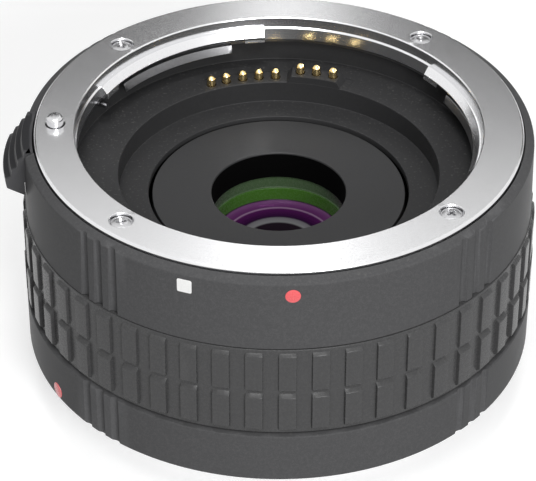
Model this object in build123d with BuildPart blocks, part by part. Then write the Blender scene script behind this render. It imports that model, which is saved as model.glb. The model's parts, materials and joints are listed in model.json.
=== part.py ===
from build123d import *
from math import cos, radians, sin, sqrt
import os

os.makedirs("parts", exist_ok=True)

# Camera teleconverter, in millimetres. The axis is Z, the rear seat is at height 0 and the
# front seat faces up. Angles are degrees from +X, anticlockwise seen from the front seat.

# Front bayonet, which a lens goes into
seat_spacing = 33.6
throat_r = 27.05
throat_wall = 1.45
throat_depth = 3.5
throat_bevel = 0.4
throat_bevel_width = 0.4
throat_land_step = 0.35
front_flange_width = 5.65
front_flange_thickness = 2.0
ring_chamfer = 0.25
lug_centres = (10.75, 124.65, 247.5)
lug_spans = (56.1, 60.7, 58.0)
lug_reach = 1.15
lug_setback = 1.5
lug_thickness = 1.8

# Rear bayonet, which goes into the camera body
tab_spans = (50.0, 55.0, 54.0)
tab_setback = 3.95
tab_thickness = 1.25
tab_play = 0.2
spigot_play = 0.5
spigot_wall = 1.2
rear_flange_thickness = 1.7
rear_ring_inset = 0.3

# Screws of the two bayonet rings
mount_screw_turn = 47.6
mount_screw_count = 4
mount_screw_r = 0.8
mount_head_r = 1.45
mount_head_height = 0.8
head_play = 0.15
counterbore_depth = 1.0
front_screw_inset = 1.2
front_screw_length = 5.0
rear_screw_inset = 3.4
rear_screw_length = 3.6

# Leaf springs and stop pin behind the front lugs
leaf_thickness = 0.4
leaf_play = 0.05
leaf_tip_setback = 0.15
leaf_end_angle = 3.0
stop_pin_r = 0.4
stop_pin_drop = 0.6
stop_pin_setback = 0.3
stop_pin_angle = 154.5

# Front barrel
ring_gap = 0.2
lip_drop = 0.5
lip_width = 1.2
shoulder_drop = 1.1
shoulder_round = 0.2
band_taper = 0.2
smooth_band_height = 9.95
grip_recess = 1.2
core_wall = 1.7
barrel_flange_thickness = 1.5
upper_bore_step = 1.0
upper_bore_depth = 7.7
boss_r = 2.0
boss_web_width = 2.4

# Rear barrel
rear_band_height = 7.4
rear_band_step = 0.6
rear_foot_height = 1.2
rear_foot_round = 0.4
rear_rim_chamfer = 0.15
rear_floor_thickness = 3.3

# Flutes, in four groups beside the mount screws
flute_r = 0.8
flute_depth = 0.45
flute_pitch_angle = 4.2
flute_count = 3

# Index marks
index_drop = 2.8
front_dot_angle = -87.2
front_dot_r = 0.975
square_angle = -110.3
square_half = 0.98
square_round = 0.25
rear_dot_angle = -148.6
rear_dot_height = 2.56
rear_dot_r = 1.1
inlay_depth = 0.25
inlay_rise = 0.03

# Rubber grip
grip_gap = 0.1
grip_groove = 0.35
grip_step = 0.1
block_count = 51
block_width_angle = 3.7
first_block_angle = -88.25
row_top_margin = 0.2
row_gap = 0.3
row_foot_margin = 0.5
front_block_rise = 0.4
rear_block_rise = 0.55
front_block_slope = 0.35
rear_block_slope = 0.45

# Liner: the shelf and the well behind the front throat
shelf_depth = 7.33
shelf_width = 5.35
shelf_thickness = 1.8
liner_rim = 0.5
well_wall = 0.9
well_depth = 3.17
well_floor_width = 4.0
well_floor_thickness = 0.9
liner_ear_r = 1.5
liner_ear_half_angle = 3.2
liner_head_r = 1.3
liner_head_height = 0.6
screw_tip_gap = 0.3

# Front contacts
contact_inset = 1.4
contact_block_width = 2.9
contact_block_depth = 6.17
contact_block_ends = (64.5, 118.0)
raised_foot_ends = (66.0, 87.4)
raised_top_ends = (68.1, 85.1)
raised_height = 0.95
raised_inset = 0.15
raised_pin_angles = (70.4, 76.5, 82.2)
low_pin_angles = (91.0, 96.9, 102.7, 108.7, 114.3)
pin_r = 0.6
pin_rise = 1.4
pin_travel = 0.5
pin_play = 0.05
pin_roof = 1.2
pin_rest_gap = 0.02
collar_step = 0.25
collar_thickness = 0.4
collar_play = 0.05
pin_tail_r = 0.35
pin_spring_play = 0.1
contact_ear_reach = 3.0
contact_ear_thickness = 1.2
contact_ear_angles = (67.6, 114.9)
contact_ear_half_angle = 2.9
contact_screw_r = 0.5
contact_head_r = 0.9
contact_head_height = 0.5
contact_screw_roof = 0.4

# Circuit boards and the strip between them
board_thickness = 0.8
board_ends = (62.0, 122.0)
front_board_inset = 1.5
front_board_outset = 2.4
chip_width = 5.0
chip_height = 1.0
chip_angle = 111.0
chip_inset = 0.2
flex_angle = 92.6
flex_half_angle = 9.0
flex_thickness = 0.2
flex_setback = 1.0

# Rear shroud, contact block and pads
shroud_wall = 2.55
shroud_reach = 6.3
shroud_flange_width = 2.15
shroud_flange_thickness = 1.0
shroud_seat_play = 0.05
shroud_seat_step = 0.7
rear_block_notch = (66.0, 118.0)
rear_block_end_gap = 0.5
pad_setback = 0.1
pad_r = 0.7
pad_thickness = 0.4
pad_shank_r = 0.35
window_width = 21.0
window_height = 15.0
window_round = 1.5
window_plate_thickness = 1.0
window_plate_setback = 1.4
window_plate_gap = 0.4

# Lens barrel and glass
disc_drop = 0.4
disc_gap = 0.5
disc_thickness = 0.9
aperture_r = 9.15
aperture_wall = 1.25
baffle_tube_length = 3.2
barrel_wall = 1.65
barrel_collar_thickness = 1.0
barrel_flange_foot_thickness = 1.2
barrel_overhang = 1.2
front_glass_r = 10.4
rear_glass_r = 11.8
cell_ring_height = 3.7
cell_ring_relief = 0.3
cell_ring_taper = 0.1
cell_ring_step = 0.2
cell_ring_step_depth = 1.8
cell_ring_foot_taper = 0.15
front_lens_thickness = 2.8
front_spacer_thickness = 0.8
doublet_front_thickness = 1.6
doublet_rear_thickness = 1.6
stop_shoulder_thickness = 1.5
stop_shoulder_width = 0.8
rear_lens_front_thickness = 1.9
rear_spacer_thickness = 1.4
rear_lens_back_thickness = 1.9
retaining_ring_thickness = 1.2
retaining_ring_width = 1.5
spacer_width = 0.8
glass_rim = 0.4
front_lens_front_hollow = 1.45
front_lens_back_hollow = 0.5
doublet_front_bulge = 1.0
doublet_cement_bulge = 1.7
doublet_back_bulge = 0.6
cement_gap = 0.01
rear_pair_front_bulge = 0.6
rear_pair_inner_bulge = 1.4
rear_pair_inner_hollow = 0.8
rear_pair_back_bulge = 1.0
flex_notch_gap = 3.5
barrel_screw_angles = (2.6, 122.6, 242.6)
barrel_screw_inset = 1.8
barrel_screw_length = 3.2

# Release lever, lock pin and spring
lever_centre = 182.0
lever_half_angle = 8.5
pocket_half_angle = 9.2
lever_travel = 1.7
lever_top_drop = 0.6
lever_ring_gap = 0.25
lever_block_height = 4.6
lever_floor_gap = 0.2
lever_crown_r = 22.4
ridge_count = 3
ridge_offset = 0.25
ridge_reach = 0.9
ridge_drop = 1.3
riser_height = 0.95
riser_lean = 0.15
pad_wall_height = 1.3
pad_wall_lean = 0.1
pad_heel_drop = 1.5
pad_heel_gap = 0.45
lever_rest_gap = 0.05
tongue_thickness = 0.8
tongue_half_angle = 2.0
tongue_offset_angle = 6.5
tongue_screw_margin = 0.7
lever_screw_r = 0.5
lever_head_r = 0.8
lever_head_height = 0.45
carrier_thickness = 0.7
carrier_play = 0.35
carrier_wall_play = 0.2
lock_pin_inset = 1.4
lock_pin_angle = 180.0
lock_pin_r = 1.15
lock_hole_r = 1.3
lock_pin_rise = 1.3
lock_pin_round = 0.5
lock_tail_r = 0.7
lock_tail_reach = 1.0
lock_spring_r = 1.3
lock_spring_wall = 0.3
lock_spring_length = 6.35
ledge_thickness = 1.0
ledge_margin = 0.2
ledge_half_angle = 4.0

# Fits and cutting overrun
slip_play = 0.05
thread_play = 0.02
shank_play = 0.1
overrun = 1.0

# Radii that follow
throat_land_r = throat_r + throat_land_step
throat_tube_r = throat_r + throat_wall
front_ring_r = throat_r + front_flange_width
lug_r = throat_r - lug_reach
collar_bore_r = throat_tube_r + slip_play
front_screw_circle = throat_tube_r + front_screw_inset
lock_pin_circle = throat_tube_r + lock_pin_inset
lip_r = front_ring_r + ring_gap
shoulder_r = lip_r + lip_width
band_foot_r = shoulder_r + band_taper
core_r = band_foot_r - grip_recess
core_bore_r = core_r - core_wall
upper_bore_r = core_bore_r + upper_bore_step
grip_base_r = band_foot_r + grip_step
rear_band_r = band_foot_r + rear_band_step
spigot_r = lug_r - spigot_play
spigot_bore_r = spigot_r - spigot_wall
tab_r = throat_r - tab_play
rear_ring_r = front_ring_r - rear_ring_inset
rear_screw_circle = spigot_r + rear_screw_inset
shroud_r = spigot_bore_r - slip_play
shroud_bore_r = shroud_r - shroud_wall
shroud_flange_r = shroud_r + shroud_flange_width
rear_opening_r = shroud_flange_r - shroud_seat_step
well_r = throat_r - shelf_width
well_hole_r = well_r - well_floor_width
contact_r = well_r + contact_inset
contact_block_r = well_r + contact_block_width
contact_ear_r = contact_block_r + contact_ear_reach
contact_screw_circle = contact_block_r + contact_ear_reach / 2
front_board_bore_r = well_r - front_board_inset
front_board_r = contact_block_r + front_board_outset
rear_board_r = rear_opening_r - ring_gap
flex_r = rear_opening_r - flex_setback
chamber_r = pin_r + collar_step + collar_play
disc_r = well_hole_r - disc_gap
front_bore_r = front_glass_r + slip_play
rear_bore_r = rear_glass_r + slip_play
barrel_tube_r = rear_bore_r + barrel_wall
barrel_flange_r = core_bore_r - ring_gap
barrel_screw_circle = barrel_flange_r - barrel_screw_inset
stop_shoulder_r = front_glass_r - stop_shoulder_width
cell_ring_r = front_glass_r - aperture_wall + cell_ring_relief
cell_ring_waist_r = cell_ring_r - cell_ring_taper
cell_ring_seat_r = cell_ring_waist_r - cell_ring_step
front_clear_r = cell_ring_seat_r - cell_ring_foot_taper
ridge_r = shoulder_r + ridge_offset
carrier_bore_r = throat_tube_r + carrier_play
carrier_r = upper_bore_r - carrier_wall_play
lever_block_r = front_ring_r + lever_ring_gap
lever_screw_circle = carrier_r - lever_head_r

# Heights that follow, from the front seat down and from the rear seat up
flange_foot_z = seat_spacing - front_flange_thickness
barrel_flange_z = flange_foot_z - barrel_flange_thickness
throat_foot_z = seat_spacing - throat_depth
lug_top_z = seat_spacing - lug_setback
lug_foot_z = lug_top_z - lug_thickness
leaf_foot_z = throat_foot_z - leaf_thickness
lip_z = seat_spacing - lip_drop
shoulder_z = seat_spacing - shoulder_drop
index_z = seat_spacing - index_drop
band_foot_z = shoulder_z - smooth_band_height
upper_bore_z = seat_spacing - upper_bore_depth
shelf_z = seat_spacing - shelf_depth
shelf_foot_z = shelf_z - shelf_thickness
boss_foot_z = shelf_foot_z + shelf_thickness / 2
well_floor_z = shelf_z - well_depth
disc_z = well_floor_z - disc_drop
disc_foot_z = disc_z - disc_thickness
tube_foot_z = disc_foot_z - baffle_tube_length
window_plate_z = -window_plate_setback
lens_barrel_foot_z = window_plate_z + window_plate_gap
contact_block_foot_z = shelf_z - contact_block_depth
raised_z = shelf_z + raised_height
front_board_foot_z = contact_block_foot_z - board_thickness
rear_floor_z = rear_flange_thickness + rear_floor_thickness
rear_band_top_z = rear_foot_height + rear_band_height
grip_foot_z = rear_band_top_z + grip_groove
grip_top_z = band_foot_z - grip_gap
shroud_seat_z = rear_flange_thickness + shroud_flange_thickness
rear_board_z = shroud_seat_z + board_thickness
mount_seat_z = seat_spacing - counterbore_depth
front_screw_tip_z = mount_seat_z - front_screw_length
lever_top_z = seat_spacing - lever_top_drop
lever_block_foot_z = lever_top_z - lever_block_height
pocket_floor_z = lever_block_foot_z - lever_travel - lever_floor_gap
tongue_z = barrel_flange_z - lever_rest_gap
carrier_z = tongue_z - tongue_thickness
carrier_foot_z = carrier_z - carrier_thickness
ledge_z = carrier_foot_z - lock_spring_length
ledge_foot_z = ledge_z - ledge_thickness

# The glass stack fills the height between the baffle tube and the lens barrel's foot, and each
# piece in it keeps its share of that height.
stack_thicknesses = (
    cell_ring_height,
    front_lens_thickness,
    front_spacer_thickness,
    doublet_front_thickness,
    doublet_rear_thickness,
    stop_shoulder_thickness,
    rear_lens_front_thickness,
    rear_spacer_thickness,
    rear_lens_back_thickness,
    retaining_ring_thickness,
    barrel_overhang,
)
stack_fill_share = (tube_foot_z - lens_barrel_foot_z) / sum(stack_thicknesses)
cell_step_z = tube_foot_z - cell_ring_step_depth * stack_fill_share
front_glass_z = tube_foot_z - cell_ring_height * stack_fill_share
front_lens_foot_z = front_glass_z - front_lens_thickness * stack_fill_share
doublet_z = front_lens_foot_z - front_spacer_thickness * stack_fill_share
cement_z = doublet_z - doublet_front_thickness * stack_fill_share
stop_shoulder_z = cement_z - doublet_rear_thickness * stack_fill_share
rear_pair_z = stop_shoulder_z - stop_shoulder_thickness * stack_fill_share
rear_spacer_z = rear_pair_z - rear_lens_front_thickness * stack_fill_share
rear_back_z = rear_spacer_z - rear_spacer_thickness * stack_fill_share
retaining_z = rear_back_z - rear_lens_back_thickness * stack_fill_share
retaining_foot_z = retaining_z - retaining_ring_thickness * stack_fill_share

mount_screw_angles = [mount_screw_turn + 360 / mount_screw_count * n for n in range(mount_screw_count)]
pin_angles = raised_pin_angles + low_pin_angles
ON = (Align.CENTER, Align.CENTER, Align.MIN)
UNDER = (Align.CENTER, Align.CENTER, Align.MAX)


def turned(points):
    """Face on the plane through the axis, from a closed outline of (radius, height) points."""
    with BuildSketch(Plane.XZ) as outline:
        with BuildLine():
            Polyline(*points, close=True)
        make_face()
    return outline.sketch


def sector(bore_r, outer_r, first_angle, last_angle, height):
    """Flat ring sector at a height, between two angles."""
    span = last_angle - first_angle
    with BuildSketch(Plane.XY.offset(height)) as band:
        with BuildLine():
            outer = CenterArc((0, 0), outer_r, first_angle, span)
            inner = CenterArc((0, 0), bore_r, first_angle, span)
            Line(outer @ 0, inner @ 0)
            Line(outer @ 1, inner @ 1)
        make_face()
    return band.sketch


def on_circle(radius, angles, height, up=1):
    """Places on a circle, each with its X outwards and its Z up or down."""
    planes = []
    for angle in angles:
        outwards = (cos(radians(angle)), sin(radians(angle)), 0)
        middle = (radius * outwards[0], radius * outwards[1], height)
        planes.append(Plane(origin=middle, x_dir=outwards, z_dir=(0, 0, up)))
    return Locations(*planes)


def radial_plane(angle, radius, height):
    """Plane facing outwards at a place on a cylinder, its X level and its Y up."""
    outwards = (cos(radians(angle)), sin(radians(angle)), 0)
    middle = (radius * outwards[0], radius * outwards[1], height)
    return Plane(origin=middle, x_dir=(-outwards[1], outwards[0], 0), z_dir=outwards)


def band_r(height):
    """Radius of the smooth front band, which tapers, at a height."""
    share = (shoulder_z - height) / (shoulder_z - band_foot_z)
    return shoulder_r + (band_foot_r - shoulder_r) * share


def flute_angles(middle):
    """Angles of one group of flutes about its middle."""
    return [middle + flute_pitch_angle * (n - (flute_count - 1) / 2) for n in range(flute_count)]


def screw(head_r, head_height, shank_r, length):
    """Screw whose head stands on the current place and whose shank goes below it."""
    Cylinder(head_r, head_height, align=ON)
    Cylinder(shank_r, length, align=UNDER)


def crown(clear_r, bulge, radius):
    """Height over its rim of a spherical face, at a radius; hollow where bulge is negative."""
    rise = abs(bulge)
    curve_r = (clear_r**2 + rise**2) / (2 * rise)
    height = sqrt(curve_r**2 - radius**2) - (curve_r - rise)
    return height if bulge > 0 else -height


def lens_half(rim_r, foot_z, top_z, top_face, foot_face):
    """Half section of a lens; each face is (clear radius, bulge), which is positive outwards."""
    top_clear_r, top_bulge = top_face[0], top_face[1] * stack_fill_share
    foot_clear_r, foot_bulge = foot_face[0], foot_face[1] * stack_fill_share
    with BuildSketch(Plane.XZ) as half:
        with BuildLine():
            ThreePointArc(
                (0, top_z + top_bulge),
                (top_clear_r / 2, top_z + crown(top_clear_r, top_bulge, top_clear_r / 2)),
                (top_clear_r, top_z),
            )
            Line((top_clear_r, top_z), (rim_r, top_z))
            Line((rim_r, top_z), (rim_r, foot_z))
            Line((rim_r, foot_z), (foot_clear_r, foot_z))
            ThreePointArc(
                (foot_clear_r, foot_z),
                (foot_clear_r / 2, foot_z - crown(foot_clear_r, foot_bulge, foot_clear_r / 2)),
                (0, foot_z - foot_bulge),
            )
            Line((0, foot_z - foot_bulge), (0, top_z + top_bulge))
        make_face()
    return half.sketch


# Front bayonet ring: flange, throat tube and three lugs
with BuildPart() as front_bayonet_ring:
    revolve(
        turned(
            [
                (throat_r, throat_foot_z),
                (throat_tube_r, throat_foot_z),
                (throat_tube_r, flange_foot_z),
                (front_ring_r, flange_foot_z),
                (front_ring_r, seat_spacing - ring_chamfer),
                (front_ring_r - ring_chamfer, seat_spacing),
                (throat_land_r + throat_bevel_width, seat_spacing),
                (throat_land_r, seat_spacing - throat_bevel),
                (throat_land_r, lug_top_z),
                (throat_r, lug_top_z - throat_land_step),
            ]
        ),
        axis=Axis.Z,
    )
    for centre, span in zip(lug_centres, lug_spans):
        lug = sector(lug_r, throat_r + throat_wall / 2, centre - span / 2, centre + span / 2, lug_foot_z)
        extrude(lug, amount=lug_thickness)
    with on_circle(front_screw_circle, mount_screw_angles, seat_spacing):
        CounterBoreHole(mount_screw_r + shank_play, mount_head_r + head_play, counterbore_depth)
    with on_circle(lock_pin_circle, [lock_pin_angle], seat_spacing):
        Hole(lock_hole_r)
front_bayonet_ring.part.label = "front_bayonet_ring"
export_step(front_bayonet_ring.part, "parts/front_bayonet_ring.step")

with BuildPart() as front_ring_screws:
    with on_circle(front_screw_circle, mount_screw_angles, mount_seat_z):
        screw(mount_head_r, mount_head_height, mount_screw_r, front_screw_length)
front_ring_screws.part.label = "front_ring_screws"
export_step(front_ring_screws.part, "parts/front_ring_screws.step")


# Leaf springs under the lugs, on one flat ring below the throat tube
with BuildPart() as mount_leaf_springs:
    with BuildSketch(Plane.XY.offset(leaf_foot_z)):
        Circle(throat_tube_r - slip_play)
        Circle(throat_r + leaf_play, mode=Mode.SUBTRACT)
    extrude(amount=leaf_thickness)
    for centre, span in zip(lug_centres, lug_spans):
        leaf_half_angle = span / 2 - leaf_end_angle
        leaf = sector(
            lug_r + leaf_tip_setback,
            throat_r + throat_wall / 2,
            centre - leaf_half_angle,
            centre + leaf_half_angle,
            leaf_foot_z,
        )
        extrude(leaf, amount=leaf_thickness)
mount_leaf_springs.part.label = "mount_leaf_springs"
export_step(mount_leaf_springs.part, "parts/mount_leaf_springs.step")

with BuildPart() as lens_stop_pin:
    stop_pin_tip_r = lug_r + stop_pin_setback
    stop_pin_plane = radial_plane(stop_pin_angle, stop_pin_tip_r, leaf_foot_z - stop_pin_drop)
    with BuildSketch(stop_pin_plane):
        Circle(stop_pin_r)
    extrude(amount=throat_tube_r - slip_play - stop_pin_tip_r)
lens_stop_pin.part.label = "lens_stop_pin"
export_step(lens_stop_pin.part, "parts/lens_stop_pin.step")


# Front barrel: sloping lip, smooth band, core under the grip, screw bosses and spring ledge
with BuildPart() as front_barrel:
    revolve(
        turned(
            [
                (collar_bore_r, flange_foot_z),
                (lip_r, flange_foot_z),
                (lip_r, lip_z),
                (shoulder_r, shoulder_z),
                (band_foot_r, band_foot_z),
                (core_r, band_foot_z),
                (core_r, rear_floor_z),
                (core_bore_r, rear_floor_z),
                (core_bore_r, upper_bore_z),
                (upper_bore_r, upper_bore_z),
                (upper_bore_r, barrel_flange_z),
                (collar_bore_r, barrel_flange_z),
            ]
        ),
        axis=Axis.Z,
    )
    fillet(front_barrel.edges().sort_by_distance((0, shoulder_r, shoulder_z))[0], shoulder_round)
    with on_circle(front_screw_circle, mount_screw_angles, boss_foot_z):
        Cylinder(boss_r, barrel_flange_z - boss_foot_z, align=ON)
        Box(
            upper_bore_r + core_wall / 4 - front_screw_circle,
            boss_web_width,
            barrel_flange_z - boss_foot_z,
            align=(Align.MIN, Align.CENTER, Align.MIN),
        )
    with Locations((0, 0, boss_foot_z - overrun)):
        Cylinder(collar_bore_r, seat_spacing - boss_foot_z + overrun, align=ON, mode=Mode.SUBTRACT)
    with on_circle(front_screw_circle, mount_screw_angles, flange_foot_z):
        Hole(mount_screw_r + thread_play, flange_foot_z - boss_foot_z + overrun)
    ledge_bore_r = lock_pin_circle - lock_spring_r - ledge_margin
    ledge_ends = (lock_pin_angle - ledge_half_angle, lock_pin_angle + ledge_half_angle)
    ledge = sector(ledge_bore_r, core_bore_r + core_wall / 2, *ledge_ends, ledge_foot_z)
    extrude(ledge, amount=ledge_thickness)
    with on_circle(lock_pin_circle, [lock_pin_angle], flange_foot_z):
        Hole(lock_hole_r, barrel_flange_thickness + overrun)
        Hole(lock_tail_r + shank_play, flange_foot_z - ledge_foot_z + overrun)
    pocket_ends = (lever_centre - pocket_half_angle, lever_centre + pocket_half_angle)
    pocket = sector(upper_bore_r - ring_gap, band_foot_r + overrun, *pocket_ends, pocket_floor_z)
    extrude(pocket, amount=seat_spacing - pocket_floor_z, mode=Mode.SUBTRACT)
    flute_circle = (shoulder_r + band_foot_r) / 2 + flute_r - flute_depth
    for middle in mount_screw_angles:
        with on_circle(flute_circle, flute_angles(middle), band_foot_z - overrun):
            Cylinder(flute_r, smooth_band_height + shoulder_drop + overrun, align=ON, mode=Mode.SUBTRACT)
    front_dot_plane = radial_plane(front_dot_angle, band_r(index_z) - inlay_depth, index_z)
    with BuildSketch(front_dot_plane) as dot_pocket:
        Circle(front_dot_r + thread_play)
    extrude(dot_pocket.sketch, amount=inlay_depth + overrun, mode=Mode.SUBTRACT)
    square_plane = radial_plane(square_angle, band_r(index_z) - inlay_depth, index_z)
    with BuildSketch(square_plane) as square_pocket:
        square_side = 2 * (square_half + thread_play)
        RectangleRounded(square_side, square_side, square_round)
    extrude(square_pocket.sketch, amount=inlay_depth + overrun, mode=Mode.SUBTRACT)
front_barrel.part.label = "front_barrel"
export_step(front_barrel.part, "parts/front_barrel.step")

with BuildPart() as front_index_dot:
    with BuildSketch(front_dot_plane):
        Circle(front_dot_r)
    extrude(amount=inlay_depth + inlay_rise)
front_index_dot.part.label = "front_index_dot"
export_step(front_index_dot.part, "parts/front_index_dot.step")

with BuildPart() as front_index_square:
    with BuildSketch(square_plane):
        RectangleRounded(2 * square_half, 2 * square_half, square_round)
    extrude(amount=inlay_depth + inlay_rise)
front_index_square.part.label = "front_index_square"
export_step(front_index_square.part, "parts/front_index_square.step")


# Rubber grip: a sleeve with two rows of raised blocks
with BuildPart() as grip_ring:
    grip_bore_r = core_r + slip_play
    revolve(
        turned(
            [
                (grip_bore_r, grip_foot_z),
                (grip_base_r, grip_foot_z),
                (grip_base_r, grip_top_z),
                (grip_bore_r, grip_top_z),
            ]
        ),
        axis=Axis.Z,
    )
    rows_top_z = grip_top_z - row_top_margin
    rows_foot_z = grip_foot_z + row_foot_margin
    row_height = (rows_top_z - rows_foot_z - row_gap) / 2
    rows = [
        (rows_top_z, front_block_rise, front_block_slope),
        (rows_top_z - row_height - row_gap, rear_block_rise, rear_block_slope),
    ]
    for row_z, rise, slope in rows:
        revolve(
            turned(
                [
                    (grip_bore_r + grip_step, row_z - row_height),
                    (grip_base_r, row_z - row_height),
                    (grip_base_r + rise, row_z - row_height + slope),
                    (grip_base_r + rise, row_z - slope),
                    (grip_base_r, row_z),
                    (grip_bore_r + grip_step, row_z),
                ]
            ),
            axis=Axis.Z,
        )
    slot_angle = 360 / block_count - block_width_angle
    one_slot = sector(grip_base_r, rear_band_r + overrun, -slot_angle / 2, slot_angle / 2, 0)
    with BuildSketch(Plane.XY.offset(rows_foot_z - row_foot_margin)) as slots:
        with PolarLocations(0, block_count, start_angle=first_block_angle + 180 / block_count):
            add(one_slot)
    extrude(slots.sketch, amount=grip_top_z - grip_foot_z, mode=Mode.SUBTRACT)
grip_ring.part.label = "grip_ring"
export_step(grip_ring.part, "parts/grip_ring.step")


# Rear barrel: a cup that screws onto the foot of the front barrel
with BuildPart() as rear_barrel:
    shroud_seat_r = shroud_flange_r + ring_chamfer / 2
    revolve(
        turned(
            [
                (rear_opening_r, shroud_seat_z + shroud_seat_play),
                (shroud_seat_r, shroud_seat_z + shroud_seat_play),
                (shroud_seat_r, rear_flange_thickness),
                (rear_ring_r + slip_play, rear_flange_thickness),
                (rear_ring_r + slip_play, rear_foot_height),
                (rear_band_r, rear_foot_height),
                (rear_band_r, rear_band_top_z - rear_rim_chamfer),
                (rear_band_r - rear_rim_chamfer, rear_band_top_z),
                (core_r + slip_play, rear_band_top_z),
                (core_r + slip_play, rear_floor_z),
                (rear_opening_r, rear_floor_z),
            ]
        ),
        axis=Axis.Z,
    )
    fillet(rear_barrel.edges().sort_by_distance((0, rear_band_r, rear_foot_height))[0], rear_foot_round)
    with on_circle(rear_screw_circle, mount_screw_angles, rear_floor_z):
        Hole(mount_screw_r + thread_play, rear_floor_thickness + overrun)
    with on_circle(barrel_screw_circle, barrel_screw_angles, rear_floor_z):
        Hole(mount_screw_r + thread_play, barrel_screw_length)
    rear_flute_circle = rear_band_r + flute_r - flute_depth
    for middle in mount_screw_angles:
        with on_circle(rear_flute_circle, flute_angles(middle), rear_foot_height - overrun):
            Cylinder(flute_r, rear_band_height + 2 * overrun, align=ON, mode=Mode.SUBTRACT)
    rear_dot_plane = radial_plane(rear_dot_angle, rear_band_r - inlay_depth, rear_dot_height)
    with BuildSketch(rear_dot_plane) as rear_pocket:
        Circle(rear_dot_r + thread_play)
    extrude(rear_pocket.sketch, amount=inlay_depth + overrun, mode=Mode.SUBTRACT)
rear_barrel.part.label = "rear_barrel"
export_step(rear_barrel.part, "parts/rear_barrel.step")

with BuildPart() as rear_index_dot:
    with BuildSketch(rear_dot_plane):
        Circle(rear_dot_r)
    extrude(amount=inlay_depth + inlay_rise)
rear_index_dot.part.label = "rear_index_dot"
export_step(rear_index_dot.part, "parts/rear_index_dot.step")


# Rear bayonet ring: flange, spigot and three tabs
with BuildPart() as rear_bayonet_ring:
    spigot_foot_z = -tab_setback - tab_thickness
    revolve(
        turned(
            [
                (spigot_bore_r, spigot_foot_z),
                (spigot_r, spigot_foot_z),
                (spigot_r, 0),
                (rear_ring_r - ring_chamfer, 0),
                (rear_ring_r, ring_chamfer),
                (rear_ring_r, rear_flange_thickness),
                (spigot_bore_r, rear_flange_thickness),
            ]
        ),
        axis=Axis.Z,
    )
    for centre, span in zip(lug_centres, tab_spans):
        tab = sector(spigot_r - spigot_wall / 2, tab_r, centre - span / 2, centre + span / 2, spigot_foot_z)
        extrude(tab, amount=tab_thickness)
    with on_circle(rear_screw_circle, mount_screw_angles, 0, up=-1):
        CounterBoreHole(mount_screw_r + shank_play, mount_head_r + head_play, counterbore_depth)
    with on_circle(lock_pin_circle, [lock_pin_angle], 0, up=-1):
        Hole(lock_hole_r)
rear_bayonet_ring.part.label = "rear_bayonet_ring"
export_step(rear_bayonet_ring.part, "parts/rear_bayonet_ring.step")

with BuildPart() as rear_ring_screws:
    with on_circle(rear_screw_circle, mount_screw_angles, counterbore_depth, up=-1):
        screw(mount_head_r, mount_head_height, mount_screw_r, rear_screw_length)
rear_ring_screws.part.label = "rear_ring_screws"
export_step(rear_ring_screws.part, "parts/rear_ring_screws.step")


# Rear shroud: a black sleeve inside the spigot with a rectangular window plate
with BuildPart() as rear_shroud:
    revolve(
        turned(
            [
                (shroud_bore_r, -shroud_reach),
                (shroud_r, -shroud_reach),
                (shroud_r, rear_flange_thickness),
                (shroud_flange_r, rear_flange_thickness),
                (shroud_flange_r, shroud_seat_z),
                (shroud_bore_r, shroud_seat_z),
            ]
        ),
        axis=Axis.Z,
    )
    with BuildSketch(Plane.XY.offset(window_plate_z - window_plate_thickness)) as window_plate:
        Circle(shroud_bore_r + shroud_wall / 4)
        RectangleRounded(window_width, window_height, window_round, mode=Mode.SUBTRACT)
    extrude(window_plate.sketch, amount=window_plate_thickness)
    notch = sector(shroud_bore_r, shroud_flange_r + overrun, *rear_block_notch, -shroud_reach - overrun)
    extrude(notch, amount=shroud_reach + shroud_seat_z + 2 * overrun, mode=Mode.SUBTRACT)
rear_shroud.part.label = "rear_shroud"
export_step(rear_shroud.part, "parts/rear_shroud.step")

with BuildPart() as rear_contact_block:
    low_face_z = -shroud_reach + pad_setback
    high_face_z = low_face_z + raised_height
    rear_block_ends = (rear_block_notch[0] + rear_block_end_gap, rear_block_notch[1] - rear_block_end_gap)
    rear_block_step = (raised_pin_angles[-1] + low_pin_angles[0]) / 2
    low_part = sector(shroud_bore_r, shroud_r, *rear_block_ends, low_face_z)
    extrude(low_part, amount=shroud_seat_z - low_face_z)
    high_part = sector(shroud_bore_r, shroud_r, rear_block_ends[0], rear_block_step, low_face_z)
    extrude(high_part, amount=raised_height, mode=Mode.SUBTRACT)
    rear_block_flange = sector(shroud_bore_r, shroud_flange_r, *rear_block_ends, rear_flange_thickness)
    extrude(rear_block_flange, amount=shroud_flange_thickness)
    for face_z, angles in ((high_face_z, raised_pin_angles), (low_face_z, low_pin_angles)):
        with on_circle(contact_r, angles, face_z, up=-1):
            CounterBoreHole(pad_shank_r + thread_play, pad_r + thread_play, pad_thickness)
rear_contact_block.part.label = "rear_contact_block"
export_step(rear_contact_block.part, "parts/rear_contact_block.step")

with BuildPart() as rear_contact_pads:
    for face_z, angles in ((high_face_z, raised_pin_angles), (low_face_z, low_pin_angles)):
        with on_circle(contact_r, angles, face_z):
            Cylinder(pad_r, pad_thickness, align=ON)
            Cylinder(pad_shank_r, rear_board_z - face_z, align=ON)
rear_contact_pads.part.label = "rear_contact_pads"
export_step(rear_contact_pads.part, "parts/rear_contact_pads.step")

with BuildPart() as rear_contact_board:
    extrude(sector(shroud_bore_r, rear_board_r, *board_ends, shroud_seat_z), amount=board_thickness)
    with on_circle(contact_r, pin_angles, rear_board_z):
        Hole(pad_shank_r + thread_play)
rear_contact_board.part.label = "rear_contact_board"
export_step(rear_contact_board.part, "parts/rear_contact_board.step")

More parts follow.
